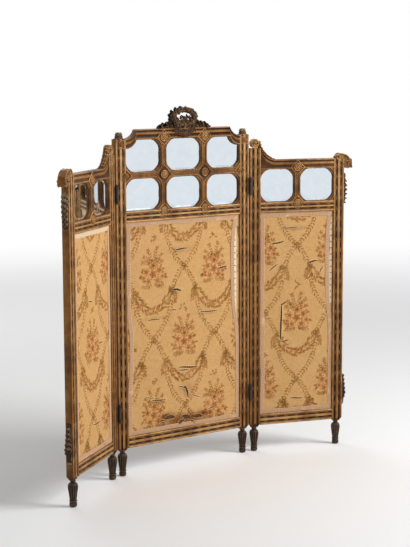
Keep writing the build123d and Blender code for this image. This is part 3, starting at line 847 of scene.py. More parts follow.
def arc_points(start, end, sag, count):
    """Points along an arc whose middle lies off its chord, to the left for a positive sag."""
    start, end = Vector(start), Vector(end)
    chord = end - start
    radius = (chord.length ** 2 / 4 + sag ** 2) / (2 * abs(sag))
    left = Vector((-chord.y, chord.x)).normalized() * (1 if sag > 0 else -1)
    centre = (start + end) / 2 + left * (abs(sag) - radius)
    half = math.asin(min(1, chord.length / 2 / radius))
    points = []
    for index in range(count + 1):
        turn = -half + 2 * half * index / count
        along = chord.normalized() * math.sin(turn) * radius
        points.append(centre + left * math.cos(turn) * radius + along)
    return points


def centre_top_stations(leaf):
    """The lower edge of the centre top rail: level, with a sweep down at each shoulder."""
    low = leaf.pane_z[0] + MIRROR_FIELD
    drop = low - leaf.extent("top_rail")[2][0]
    outer = leaf.opening[1]
    right = arc_points((outer - SHOULDER_INSET, low), (outer, low - drop), -SHOULDER_SAG, 10)
    left = [Vector((-point.x, point.y)) for point in reversed(right)]
    return left + right


def centre_top_piece(leaf):
    """The moulded top rail of the centre leaf."""

    def place(point, station):
        return Vector((station.x, point[1], station.y + point[0]))

    bm = bmesh.new()
    run_moulding(bm, top_outline(FRAME_DEPTH), place, centre_top_stations(leaf))
    return bm


def side_top_piece(leaf):
    """The moulded top rail of a side leaf, swept up to its inner stile."""
    low = leaf.extent("top_rail")[2][0]
    high = leaf.extent("top_rail")[2][1]
    rise = high - low - TOP_RAIL_HEIGHT
    sweep = arc_points((leaf.opening[0] + SWEEP_WIDTH, 0), (leaf.opening[0], rise), SWEEP_SAG, 12)
    outline = top_outline(FRAME_DEPTH)

    def place(point, station):
        share = min(1, max(0, (point[0] - 7) / 14))
        return Vector((station.x, point[1], low + point[0] + station.y * share))

    bm = bmesh.new()
    run_moulding(bm, outline, place, [Vector((leaf.opening[1], 0))] + sweep)
    return bm


def carve_block(bm, s, z, reach):
    """A square carved with a flower, over the crossing of a stile and a rail."""
    corners = ((-1, -1), (1, -1), (1, 1), (-1, 1))
    face = front_face(bm, [Vector((s + a * reach, z + b * reach)) for a, b in corners], 0.6)
    inset_steps(bm, face, ((0.6, 1.2), (1.6, 0.2), (1.2, -1.4), (1.0, -0.2)))
    lay(bm, "flower", (s, 0.6, z), (reach * 0.66,) * 3)


class SCREEN_OT_frames(bpy.types.Operator):
    """Make the moulded stiles and rails of all three leaves"""
    bl_idname = "screen.make_frames"
    bl_label = "Stiles and rails"

    def execute(self, context):
        for leaf in LEAVES:
            centre = leaf is CENTRE
            names = ("left_stile", "right_stile") if centre else ("inner_stile", "outer_stile")
            for name, side in zip(names, (0, 1)):
                span, _, heights = leaf.extent(name)
                inner = leaf.opening[side]
                outer = span[side]
                knots = heights[1] - (60 if centre else 14)
                bm = stile_piece(leaf, name, outer, inner, heights[1], knots)
                if centre:
                    carve_block(bm, (inner + outer) / 2, heights[1] - 24, 19)
                add_piece(leaf, name, bm, "gilt_wood", [name], moulding_shade)
            rails = {
                "bottom_rail": rail_piece(leaf, leaf.bottom, leaf.cloth_z[0]),
                "mid_rail": rail_piece(leaf, leaf.cloth_z[1], leaf.pane_z[0]),
                "top_rail": centre_top_piece(leaf) if centre else side_top_piece(leaf),
            }
            for name, bm in rails.items():
                add_piece(leaf, name, bm, "gilt_wood", [name], moulding_shade, lying=True)
        return {"FINISHED"}


# Glazing bars and mirrors
BAR_WIDTH = 30.0
PANE_CORNER = 34.0
BAR_FACE = 4.4
PANE_FRONT = 13.0
BEAD_STEPS = ((0.9, 2.6), (1.5, 0.8), (1.7, -0.1), (1.5, -0.9), (0.9, -2.2), (0.8, -0.8))
BEAD_WIDTH = sum(width for width, _ in BEAD_STEPS)


def cut_corner(corner, before, after, cut):
    """The points of a cut and eased corner, going round an opening."""
    if not cut:
        return [corner]
    first = corner + (before - corner).normalized() * cut
    last = corner + (after - corner).normalized() * cut
    ease = 0.24
    out = (corner - (first + last) / 2) * 0.12
    return [first + (before - first).normalized() * cut * ease,
            first.lerp(last, ease * 0.7) + out * 0.6, first.lerp(last, 0.5) + out,
            last.lerp(first, ease * 0.7) + out * 0.6,
            last + (after - last).normalized() * cut * ease]


def swept_corner(points, s, z, grow):
    """A swept corner's line moved out of an opening and kept within the opening's span."""
    moved = []
    for index, point in enumerate(points):
        way = points[min(index + 1, len(points) - 1)] - points[max(index - 1, 0)]
        way.normalize()
        spot = point + Vector((way.y, -way.x)) * grow
        moved.append(Vector((min(max(spot.x, s[0]), s[1]), min(spot.y, z[1]))))
    rising = points[0].x > 0
    moved[0 if rising else -1].x = s[1] if rising else s[0]
    moved[-1 if rising else 0].y = z[1]
    return moved


def opening_outline(s, z, cuts, grow=0.0, shoulder=None):
    """Outline of a mirror's opening, with cut corners and perhaps a swept top corner.

    cuts are the cuts at the low left, low right, high right and high left corners."""
    s, z = grown(s, grow), grown(z, grow)
    corners = [Vector((s[0], z[0])), Vector((s[1], z[0])), Vector((s[1], z[1])),
               Vector((s[0], z[1]))]
    points = []
    for index, cut in enumerate(cuts):
        if shoulder is not None and index == (2 if shoulder[-1].x > 0 else 3):
            points += swept_corner(shoulder, s, z, grow)
            continue
        ease = cut - grow * 0.586 if cut else 0
        points += cut_corner(corners[index], corners[index - 1], corners[(index + 1) % 4], ease)
    return points


def front_face(bm, points, t):
    """A flat face on a front view's outline, looking forward."""
    face = bm.faces.new([bm.verts.new((point.x, t, point.y)) for point in points])
    face.normal_update()
    if face.normal.y > 0:
        face.normal_flip()
    return face


def bead_round(bm, points):
    """A bead round an opening: an outline inset in steps to its edge, then the inner wall."""
    face = front_face(bm, points, BAR_FACE)
    inset_steps(bm, face, BEAD_STEPS)
    depth = PANE_FRONT - max(vert.co.y for vert in face.verts)
    bmesh.ops.inset_region(bm, faces=[face], thickness=0.001, depth=-depth, use_boundary=True)
    bmesh.ops.delete(bm, geom=[face], context="FACES_ONLY")


def crosses(spot, holes):
    """Whether a spot lies well inside one of the mirrors' openings."""
    for hole in holes:
        s = (min(p.x for p in hole) + 13, max(p.x for p in hole) - 13)
        z = (min(p.y for p in hole) + 13, max(p.y for p in hole) - 13)
        if s[0] < spot.x < s[1] and z[0] < spot.z < z[1]:
            return True
    return False


def lattice_plate(bm, outer, holes):
    """The flat of the glazing bars: a plate with an opening for each mirror."""
    edges = []
    for points in [outer] + holes:
        verts = [bm.verts.new((point.x, BAR_FACE, point.y)) for point in points]
        edges += [bm.edges.new(pair) for pair in zip(verts, verts[1:] + verts[:1])]
    made = bmesh.ops.triangle_fill(bm, edges=edges, use_beauty=True)
    faces = only(made["geom"], bmesh.types.BMFace)
    stray = [face for face in faces if crosses(face.calc_center_median(), holes)]
    bmesh.ops.delete(bm, geom=stray, context="FACES_ONLY")
    faces = [face for face in faces if face.is_valid]
    drop = bmesh.ops.extrude_face_region(bm, geom=faces)["geom"]
    bmesh.ops.translate(bm, vec=(0, PANE_FRONT - BAR_FACE - 0.2, 0),
                        verts=only(drop, bmesh.types.BMVert))


def diamond(bm, s, z, reach, t=BAR_FACE):
    """A raised square set cornerwise round a boss, with a sunk field."""
    points = [Vector((s + a * reach, z + b * reach)) for a, b in ((-1, 0), (0, -1), (1, 0), (0, 1))]
    face = front_face(bm, points, t)
    inset_steps(bm, face, ((0.8, 2.6), (1.4, 0.8), (1.5, -0.6), (0.9, -2.4), (2.2, -0.4),
                           (1.0, 0.8), (1.2, -0.2)))


def pane_openings(leaf):
    """Every mirror's opening in a leaf: its s, its z, its corner cuts and its swept corner."""
    low = leaf.pane_z[0]
    cut = PANE_CORNER
    if leaf is not CENTRE:
        middle = sum(leaf.opening) / 2
        spans = ((leaf.opening[0], middle - BAR_WIDTH / 2),
                 (middle + BAR_WIDTH / 2, leaf.opening[1]))
        return [(s, leaf.pane_z, (cut,) * 4, None) for s in spans]
    bar = (leaf.extent("rosettes")[0][1] - leaf.extent("rosettes")[0][0]) / 2 - BOSS_RADIUS
    stations = centre_top_stations(leaf)
    high = max(point.y for point in stations)
    level = (low + high) / 2
    half = BAR_WIDTH / 2
    columns = ((leaf.opening[0], -bar - half), (-bar + half, bar - half),
               (bar + half, leaf.opening[1]))
    rows = ((low, level - half), (level + half, high))
    right = [point for point in reversed(stations) if point.x > 0]
    left = [Vector((-point.x, point.y)) for point in reversed(right)]
    openings = []
    for column, s in enumerate(columns):
        for row, z in enumerate(rows):
            cuts = [cut] * 4
            if column == 0 and row == 0:
                cuts[0] = 0
            swept = None
            if row == 1 and column != 1:
                swept = right if column == 2 else left
            openings.append((s, z, tuple(cuts), swept))
    return openings


class SCREEN_OT_glazing(bpy.types.Operator):
    """Make the glazing bars with a bead round every mirror"""
    bl_idname = "screen.make_glazing"
    bl_label = "Glazing bars"

    def execute(self, context):
        for leaf in LEAVES:
            centre = leaf is CENTRE
            openings = pane_openings(leaf)
            bm = bmesh.new()
            high = max(z[1] for _, z, _, _ in openings)
            outer = [Vector((leaf.opening[0], leaf.pane_z[0])),
                     Vector((leaf.opening[1], leaf.pane_z[0]))]
            if centre:
                outer += list(reversed(centre_top_stations(leaf)))
            else:
                outer += [Vector((leaf.opening[1], high)), Vector((leaf.opening[0], high))]
            outer = [Vector((p.x * 1.001 if centre else p.x,
                             p.y + 0.3 * (1 if p.y > high - 60 else -1))) for p in outer]
            holes = [opening_outline(grown(s, -0.2), grown(z, -0.2), cuts, 0.0, swept)
                     for s, z, cuts, swept in openings]
            if centre:
                holes = [[Vector((p.x * 0.9995, p.y - 0.1)) for p in hole] for hole in holes]
            lattice_plate(bm, outer, holes)
            for s, z, cuts, swept in openings:
                bead_round(bm, opening_outline(s, z, cuts, BEAD_WIDTH, swept))
            bars = sorted({round(s[1] + BAR_WIDTH / 2, 1) for s, _, _, _ in openings})[:-1]
            rows = sorted({round(z[1] + BAR_WIDTH / 2, 1) for _, z, _, _ in openings})[:-1]
            for s in bars:
                for z in rows:
                    diamond(bm, s, z, 43.0)
                for z, side in ((leaf.pane_z[0], -1), (high, 1)):
                    diamond(bm, s, z + side * 7.0, 37.0, 2.4)
            for s in leaf.opening if centre else ():
                for z in rows:
                    diamond(bm, s, z, 30.0, 2.4)
                    lay(bm, "flower", (s, 1.2, z), (12, 10, 12), 20)
            name = "glazing_bars" if centre else "glazing_bar"
            add_piece(leaf, name, bm, "gilt_wood", [name], moulding_shade)
        return {"FINISHED"}


ROSETTE_OUTLINE = ((0, 5.0), (2.2, 4.8), (4.0, 3.6), (4.8, 2.2), (6.2, 2.8), (9.4, 3.6),
                   (12.0, 2.6), (13.4, 1.0), (14.6, 0.9), (15.4, 2.4), (16.8, 2.8), (18.2, 2.2),
                   (19.0, 0.2), (19.0, -0.6))


def rosette(bm, s, z):
    """A turned and carved boss: a button, a ring of petals and a bead."""
    boss = bmesh.new()
    turned(boss, ROSETTE_OUTLINE, 48)
    for vert in boss.verts:
        radius = math.hypot(vert.co.x, vert.co.y)
        if 5.5 < radius < 13:
            petal = 0.5 + 0.5 * math.cos(8 * math.atan2(vert.co.y, vert.co.x))
            vert.co.z -= 1.9 * (1 - petal) * math.sin(math.pi * (radius - 5) / 9)
    look_forward(boss)
    join(bm, boss, Matrix.Translation((s, 0, z)))


class SCREEN_OT_rosettes(bpy.types.Operator):
    """Make the carved bosses at the crossings of the glazing bars"""
    bl_idname = "screen.make_rosettes"
    bl_label = "Rosettes"

    def execute(self, context):
        for leaf in LEAVES:
            span, _, heights = leaf.extent("rosettes")
            columns = (span[0] + BOSS_RADIUS, span[1] - BOSS_RADIUS)
            rows = [heights[0] + BOSS_RADIUS, heights[1] - BOSS_RADIUS]
            if leaf is CENTRE:
                rows.append(sum(rows) / 2)
            else:
                columns = columns[:1]
            bm = bmesh.new()
            for s in columns:
                for z in rows:
                    rosette(bm, s, z)
            add_piece(leaf, "rosettes", bm, "gilt_wood", ["rosettes"], rosette_shade)
        return {"FINISHED"}


def rosette_shade(points):
    """Painted highlight and shade on a boss: brightened most at its crown and not at all at its
    foot.
    """
    return np.clip((points[:, 1] + 4.0) / 6.0, 0, 1) * 0.2 - 0.2


class SCREEN_OT_mirrors(bpy.types.Operator):
    """Make the bevelled mirrors"""
    bl_idname = "screen.make_mirrors"
    bl_label = "Mirrors"

    def execute(self, context):
        for leaf in LEAVES:
            bm = bmesh.new()
            thick = leaf.extent("mirrors")[1][1]
            for s, z, cuts, swept in pane_openings(leaf):
                rings = []
                for grow, t in ((4.5, thick), (4.5, PANE_FRONT + 1.4), (-10, PANE_FRONT + 0.2),
                                (-14, PANE_FRONT + 0.2)):
                    points = opening_outline(s, z, cuts, grow, swept)
                    rings.append([bm.verts.new((point.x, t, point.y)) for point in points])
                for before, after in zip(rings, rings[1:]):
                    corners = zip(before, before[1:] + before[:1], after[1:] + after[:1], after)
                    for corner in corners:
                        bm.faces.new(corner)
                for ring, t in ((rings[0], thick), (rings[-1], PANE_FRONT + 0.2)):
                    middle = bm.verts.new((sum(s) / 2, t, sum(z) / 2))
                    for pair in zip(ring, ring[1:] + ring[:1]):
                        bm.faces.new((*pair, middle))
            places = [vert.co.copy() for vert in bm.verts]
            rim = [0.0] * len(places)
            for index, spot in enumerate(places):
                depth = [min(spot.x - s[0], s[1] - spot.x, spot.z - z[0], z[1] - spot.z)
                         for s, z, _, _ in pane_openings(leaf)]
                rim[index] = max(depth)
            add_piece(leaf, "mirrors", bm, "mirror_glass", ["mirrors"], crease=0,
                      extras={"rim": rim})
        return {"FINISHED"}


class SCREEN_OT_backboards(bpy.types.Operator):
    """Give the boards behind the mirrors their sawn finish"""
    bl_idname = "screen.make_backboards"
    bl_label = "Backboards"

    def execute(self, context):
        for leaf in LEAVES:
            span, depth, heights = leaf.extent("backboard")
            bm = bmesh.new()
            if leaf is CENTRE:
                stations = centre_top_stations(leaf)
                outer = [Vector((span[0], heights[0])), Vector((span[1], heights[0]))]
                outer += [Vector((p.x * span[1] / leaf.opening[1], p.y + 4.5))
                          for p in reversed(stations)]
            else:
                outer = [Vector((span[0], heights[0])), Vector((span[1], heights[0])),
                         Vector((span[1], heights[1])), Vector((span[0], heights[1]))]
            carved_body(bm, outer, depth, 0.8, 2)
            add_piece(leaf, "backboard", bm, "backboard_wood", ["backboard"], lying=True)
        return {"FINISHED"}


FOOT_OUTLINE = ((0, 0), (11.0, 0), (13.0, 0.8), (15.6, 4.5), (16.8, 10), (16.2, 16), (14.4, 20.4),
                (14.2, 22.4), (16.2, 23.6), (17.6, 25.6), (17.2, 27.6), (14.6, 29), (15.0, 32),
                (16.6, 44), (18.8, 60), (21.0, 76), (22.0, 85), (21.8, 92), (20.0, 98.5),
                (16.4, 103.2), (11.6, 105.6), (10.4, 107.4), (10.2, 109.6), (12.4, 111),
                (13.2, 113), (12.2, 115), (10.6, 116), (10.4, 118.3), (0, 118.3))
FLUTES = 12


class SCREEN_OT_feet(bpy.types.Operator):
    """Make the turned and fluted feet"""
    bl_idname = "screen.make_feet"
    bl_label = "Feet"

    def execute(self, context):
        for leaf in LEAVES:
            span, depth, _ = leaf.extent("feet")
            radius = (depth[1] - depth[0]) / 2
            bm = bmesh.new()
            turned(bm, FOOT_OUTLINE, FLUTES * 6)
            for vert in bm.verts:
                height = vert.co.z
                angle = math.atan2(vert.co.y, vert.co.x)
                if 31 < height < 99:
                    share = min(1, (height - 31) / 8, (99 - height) / 8)
                    flute = 0.5 - 0.5 * math.cos(FLUTES * angle)
                    cut = 1 - 0.17 * share * flute
                    vert.co.x *= cut
                    vert.co.y *= cut
            foot = keep_pattern("foot", bm)
            bm = bmesh.new()
            for s in (span[0] + radius, span[1] - radius):
                stamp(bm, foot, Matrix.Translation((s, sum(depth) / 2, 0)))
            add_piece(leaf, "feet", bm, "dark_wood", ["feet"])
            bpy.data.meshes.remove(foot)
        return {"FINISHED"}


def lit_shade(points):
    """Even painted light over a smooth carving, brightening it all."""
    return np.full(len(points), -0.12)


def carved_shade(points):
    """Painted shade on carving, darker towards its back."""
    depth = points[:, 1]
    return 0.3 * np.clip((depth - depth.min()) / max(1, np.ptp(depth)), 0, 1)


# A bud's core, and its leaves: count, length, first turn, distance out, lean and rise
BUD_INSET = 26
BUD_CORE = ((0, 24), (3.5, 23), (6.5, 20), (9, 15), (10.5, 11), (11, 7), (14.5, 4),
            (17.5, 2.2), (18, 1), (17, 0), (0, 0))
BUD_LEAVES = ((7, 24, 0, 14, -15, 3), (7, 22, 26, 11, -15, 10), (5, 15, 10, 7, -22, 16))


class SCREEN_OT_buds(bpy.types.Operator):
    """Make the leafy buds on the centre stiles"""
    bl_idname = "screen.make_buds"
    bl_label = "Buds"

    def execute(self, context):
        leaf = CENTRE
        span, depth, heights = leaf.extent("buds")
        middle = sum(depth) / 2
        low = heights[0]
        bm = bmesh.new()
        for s in (span[0] + BUD_INSET, span[1] - BUD_INSET):
            bud = bmesh.new()
            turned(bud, BUD_CORE, 24)
            bmesh.ops.scale(bud, vec=(1.45, 1.0, 1), verts=bud.verts)
            join(bm, bud, Matrix.Translation((s, middle, low)))
            for count, length, start, base, lean, rise in BUD_LEAVES:
                for index in range(count):
                    turn = Matrix.Rotation(math.radians(start + 360 * index / count), 4, "Z")
                    tip = Matrix.Rotation(math.radians(lean), 4, "X")
                    size = Matrix.Diagonal((length * 0.9, length * 0.36, length, 1))
                    foot = Matrix.Translation((s, middle, low + rise))
                    spread = Matrix.Diagonal((1.45, 1.05, 1, 1))
                    out = Matrix.Translation((0, -base, 0))
                    stamp(bm, pattern("acanthus"), foot @ spread @ turn @ out @ tip @ size)
        add_piece(leaf, "buds", bm, "carved_wood", ["buds"], lit_shade)
        return {"FINISHED"}


def ribbon_band(bm, path, width, thickness):
    """A flat ribbon carried along a path in the front plane."""
    ends = [bm.verts.new(path[0] + Vector((0, side * width / 2, 0))) for side in (-1, 1)]
    edge = bm.edges.new(ends)
    faces = []
    for before, after in zip(path, path[1:]):
        made = bmesh.ops.extrude_edge_only(bm, edges=[edge])["geom"]
        edge = next(item for item in only(made, bmesh.types.BMEdge)
                    if all(vert in made for vert in item.verts))
        faces += only(made, bmesh.types.BMFace)
        bmesh.ops.translate(bm, vec=after - before, verts=only(made, bmesh.types.BMVert))
    bmesh.ops.solidify(bm, geom=faces, thickness=thickness)


def ring_core(bm, centre, wide, high, radius):
    """The round core of a wreath, wider than it is high."""
    core = bmesh.new()
    circle = bmesh.ops.create_circle(core, segments=10, radius=radius)["verts"]
    bmesh.ops.rotate(core, verts=circle, matrix=Matrix.Rotation(math.radians(90), 3, "Z"))
    bmesh.ops.translate(core, verts=circle, vec=(wide, 0, 0))
    bmesh.ops.spin(core, geom=core.verts[:] + core.edges[:], cent=(0, 0, 0), axis=(0, 1, 0),
                   angle=2 * math.pi, steps=48, use_merge=True)
    bmesh.ops.scale(core, vec=(1, 1, high / wide), verts=core.verts)
    join(bm, core, Matrix.Translation(centre))


# Flowers in the wreath's opening: s, z and size. A spray's leaves: s, z, length, angle and tilt
HANGING = ((-7, -20, 12), (12, -17, 13), (29, -22, 11), (-27, -22, 11), (2, -3, 9),
           (20, 0, 8.5), (-16, -4, 7), (34, -6, 8), (-34, -8, 8))
SPRAY = ((52, 3, 44, 58, -6), (62, 2, 50, 72, 4), (84, 1, 48, 70, -6), (92, 2, 46, 82, 8),
         (58, 6, 34, 34, 2), (78, 6, 34, 42, -4), (98, 4, 32, 56, 2), (112, 3, 32, 86, -4),
         (44, 4, 30, 20, 8), (70, 12, 28, 20, -2), (122, 1, 28, 84, 4), (104, 10, 24, 40, 0),
         (120, 8, 18, 60, 0))


class SCREEN_OT_crest(bpy.types.Operator):
    """Make the carved wreath, its sprays, its bow and the swag below it"""
    bl_idname = "screen.make_crest"
    bl_label = "Crest"

    def execute(self, context):
        leaf = CENTRE
        heights = leaf.extent("crest")[2]
        rail = leaf.extent("buds")[2][0] + 40
        wide, high = 79.0, (heights[1] - rail) / 2
        centre = Vector((0, 9, rail + high))
        rng = random.Random(11)
        bm = bmesh.new()
        ring_core(bm, centre, wide - 19, high - 17, 14)
        ring_count = 15
        for index in range(ring_count):
            angle = 2 * math.pi * (index + 0.5) / ring_count
            along = Vector((math.sin(angle), 0, math.cos(angle)))
            spot = centre + Vector((along.x * (wide - 19), -9.5, along.z * (high - 16)))
            size = 15.5 if index % 2 else 13
            lay(bm, "flower", spot, (size, size * 1.1, size), rng.uniform(0, 70), along.z * 16,
                along.x * 16)
            for offset, length in ((-0.14, 19), (0.14, 17), (0.0, 21)):
                turn = angle + offset
                way = Vector((math.sin(turn), 0, math.cos(turn)))
                root = centre + Vector((way.x * (wide - 21), 4 + 3 * offset, way.z * (high - 20)))
                outward = math.degrees(turn) + rng.uniform(-18, 18) + offset * 160
                lay(bm, "small_leaf", root, (length, length, length), outward, -14, 0)
                inner = centre + Vector((way.x * (wide - 18), 0, way.z * (high - 15)))
                lay(bm, "small_leaf", inner, (15, 15, 15), outward + 180, -30, 0)
            back = centre + Vector((along.x * (wide - 19), 9, along.z * (high - 17)))
            lay(bm, "acanthus", back, (20, -10, 24), math.degrees(angle) + 20, 0, 0)
        # Flowers hanging in the opening of the wreath
        for s, z, size in HANGING:
            spot = centre + Vector((s, -3, z))
            lay(bm, "flower", spot, (size, size, size), rng.uniform(0, 70), 12, s / 3)
            lay(bm, "small_leaf", spot + Vector((0, 3, 0)), (15, 15, 15), rng.uniform(-60, 60), 0,
                0)
        # The bow on top, with two loops
        for side in (-1, 1):
            path = []
            for index in range(19):
                turn = 2 * math.pi * index / 18
                reach = 15 * (1 - math.cos(turn)) / 2
                path.append(centre + Vector((5 + side * (3 + reach * 1.25),
                                             -9 - 3 * math.sin(turn / 2), high - 13 + 9.5
                                             * math.sin(turn) * 0.8 + reach * 0.1)))
            ribbon_band(bm, path, 9, 1.6)
        lay(bm, "flower", centre + Vector((5, -13, high - 12)), (6.5, 6.5, 6.5))
        # Sprays of leaves on both sides along the rail
        for side in (-1, 1):
            for s, z, length, angle, tilt in SPRAY:
                root = Vector((side * s, 8, rail + z))
                lay(bm, "acanthus", root, (length * 0.9, length, length), side * angle, tilt - 8,
                    0)
                lay(bm, "acanthus", root + Vector((0, 4, 0)),
                    (length * 0.8, -length * 0.5, length * 0.9), side * angle, 0, 0)
            for s, size in ((48, 10), (70, 9), (90, 8)):
                lay(bm, "flower", (side * s, 2, rail + 8), (size, size, size), s, 0, 0)
        # Swag of flowers and leaves over the front of the rail
        for index in range(11):
            share = index / 10
            s = -56 + 112 * share
            drop = -5 - 27 * math.sin(math.pi * share)
            size = 6.5 + 3.5 * math.sin(math.pi * share)
            spot = Vector((s, 0.2, rail + drop))
            lay(bm, "flower", spot, (size, size * 0.9, size), rng.uniform(0, 70), 0, 0)
            for angle in (rng.uniform(20, 80), rng.uniform(-80, -20), 180 + rng.uniform(-40, 40)):
                lay(bm, "small_leaf", spot + Vector((0, 0.4, 0)), (14, 9, 15), angle, 0, 0)
            fill = Vector((s * 0.85, 1.0, rail + drop * 0.35))
            lay(bm, "flower", fill, (size * 0.9,) * 3, rng.uniform(0, 70), 0, 0)
        base = bmesh.new()
        bmesh.ops.create_cube(base, size=1)
        bmesh.ops.scale(base, vec=(2 * 128, 16, 9), verts=base.verts)
        bmesh.ops.translate(base, vec=(0, 10, rail + 3.5), verts=base.verts)
        bmesh.ops.bevel(base, geom=base.edges[:], offset=3.5, segments=3, profile=0.5,
                        affect="EDGES", material=-1)
        join(bm, base)
        add_piece(leaf, "crest", bm, "carved_wood", ["crest"], carved_shade)
        return {"FINISHED"}


BAND_OUTLINE = ((-1, 0.6), (-0.96, 0), (-0.82, 0), (-0.76, 1.1), (-0.68, 1.5), (-0.16, 1.5),
                (-0.1, 0.5), (0.1, 0.5), (0.16, 1.5), (0.68, 1.5), (0.76, 1.1), (0.82, 0),
                (0.96, 0), (1, 0.6))


def rolled_band(bm, path, middle, t, thickness=4.2):
    """A thick band rolled through the leaf's depth, with two sunk panels round its outside."""
    outline = list(BAND_OUTLINE) + [(1, thickness), (-1, thickness)]
    stations = [(point, (point - middle).normalized()) for point in path]

    def place(point, station):
        spot, out = station
        flat = Vector((out.x, 0, out.z))
        spot = spot - flat * point[1]
        return Vector((spot.x, sum(t) / 2 + point[0] * (t[1] - t[0]) / 2, spot.z))

    run_moulding(bm, outline, place, stations)


def scroll(bm, centre, radius, turns, t, direction, start):
    """A rolled scroll through the leaf's depth, with a button at its eye."""
    path = []
    count = round(turns * 28)
    for index in range(count + 1):
        share = index / count
        angle = math.radians(start) + direction * 2 * math.pi * turns * share
        reach = radius - (radius - 6.5) * share ** 0.9
        path.append(Vector((centre.x + reach * math.sin(angle), sum(t) / 2,
                            centre.z + reach * math.cos(angle))))
    rolled_band(bm, path, Vector((centre.x, sum(t) / 2, centre.z)), t)
    eye = bmesh.new()
    depth = (t[1] - t[0]) / 2
    turned(eye, ((0, depth + 1.6), (2.6, depth + 1.3), (4.2, depth + 0.2), (4.6, depth - 1.4),
                 (7.2, depth - 1.6), (7.6, depth - 3.5), (radius - 4, depth - 3.8),
                 (radius - 4, 0)), 28)
    bmesh.ops.mirror(eye, geom=eye.verts[:] + eye.edges[:] + eye.faces[:], axis="Z",
                     merge_dist=0.01)
    look_forward(eye)
    join(bm, eye, Matrix.Translation((centre.x, sum(t) / 2, centre.z)))


def carved_body(bm, points, t, soft, segments=3):
    """A board cut to a front outline, with its edges rounded off."""
    body = bmesh.new()
    face = front_face(body, [Vector(point) for point in points], t[0])
    made = bmesh.ops.extrude_face_region(body, geom=[face], use_keep_orig=True)["geom"]
    bmesh.ops.translate(body, vec=(0, t[1] - t[0], 0),
                        verts=only(made, bmesh.types.BMVert))
    bmesh.ops.recalc_face_normals(body, faces=body.faces)
    rims = [edge for edge in body.edges if edge.calc_face_angle(0) > 1]
    bmesh.ops.bevel(body, geom=rims, offset=soft, segments=segments, profile=0.5,
                    affect="EDGES", material=-1)
    join(bm, body)


def console_points(edge, low, high, bulge, peak=0.6):
    """Outline of a carving that swells out of an edge and thins out towards its top."""
    count = 14
    points = [Vector((edge - 2, high)), Vector((edge - 2, low))]
    for index in range(count + 1):
        share = index / count
        swell = bulge * math.sin(math.pi * share ** peak) ** 0.8 if 0 < share < 1 else 0
        points.append(Vector((edge + max(0.2, swell), low + (high - low) * share)))
    return points


class SCREEN_OT_scrolls(bpy.types.Operator):
    """Make the scrolls at both ends of the side leaves' top rails"""
    bl_idname = "screen.make_scrolls"
    bl_label = "Scrolls"

    def execute(self, context):
        for leaf in SIDES:
            self.inner_scroll(leaf)
            self.outer_scroll(leaf)
        return {"FINISHED"}

    def inner_scroll(self, leaf):
        """The roll over the inner stile and the leaves that climb the sweep to it."""
        _, depth, heights = leaf.extent("inner_scroll")
        top = leaf.extent("inner_stile")[2][1]
        radius = (heights[1] - top) / 2
        bm = bmesh.new()
        centre = Vector((leaf.opening[0] / 2, 0, top + radius))
        scroll(bm, centre, radius - 0.5, 1.9, depth, 1, 150)
        low = leaf.extent("outer_stile")[2][1]
        for s, z, length, lean in ((128, 1, 34, 80), (112, 8, 38, 70), (97, 18, 40, 60),
                                   (83, 31, 40, 50), (70, 45, 38, 38), (58, 60, 30, 24)):
            for t in (9.5, 17.5, 25.5):
                rise = 3 if t == 17.5 else 0
                lay(bm, "acanthus", (s, t, low + z + rise), (22, 20, length), 0, -lean, 90)
            for t, flip in ((8, 1), (27, -1)):
                lay(bm, "slim_leaf", (s - 4, t, low + z - 4), (24, flip * 14, length), -lean, 0, 0)
        add_piece(leaf, "inner_scroll", bm, "gilt_wood", ["inner_scroll"], lit_shade)

    def outer_scroll(self, leaf):
        """The two rolls of the ear over the outer stile."""
        depth = leaf.extent("outer_scroll")[1]
        stile = leaf.extent("outer_stile")
        edge, top = stile[0][1], stile[2][1]
        bm = bmesh.new()
        upper = Vector((edge - 22, 0, top + 4))
        lower = Vector((edge + 19, 0, top - 31))
        outline = ((-44, 1), (-40, 14), (-26, 22), (-6, 22), (16, 14), (32, -6), (35, -28),
                   (26, -46), (6, -44), (0, -30), (0, 1))
        carved_body(bm, [(edge + s, top + z) for s, z in outline], (depth[0] + 4, depth[1] - 4),
                    2.5)
        scroll(bm, upper, 22, 1.6, depth, -1, 60)
        scroll(bm, lower, 22.5, 1.7, depth, 1, -40)
        path = arc_points((edge - 6, top + 21), (edge + 33, top - 14), 9, 10)
        rolled_band(bm, [Vector((p.x, sum(depth) / 2, p.y)) for p in path],
                    Vector((edge - 6, sum(depth) / 2, top - 30)), depth, 5)
        for t in (7, 17.5, 28):
            lay(bm, "acanthus", (edge + 20, t, top + 6), (20, 20, 40), 168, 0, 55)
            lay(bm, "slim_leaf", (edge - 44, t, top + 1), (16, 16, 26), 40, 0, 0)
        # A leaf laid over the face of the ear
        lay(bm, "acanthus", (edge + 41.5, 17.5, top - 7), (46, 12, 50), 180, 0, 90)
        for t, flip in ((3, 1), (32, -1)):
            for angle, length in ((150, 30), (190, 34), (225, 28)):
                lay(bm, "acanthus", (edge + 4, t, top - 4), (length, flip * length * 0.5, length),
                    angle, 0, 0)
        add_piece(leaf, "outer_scroll", bm, "gilt_wood", ["outer_scroll"], lit_shade)


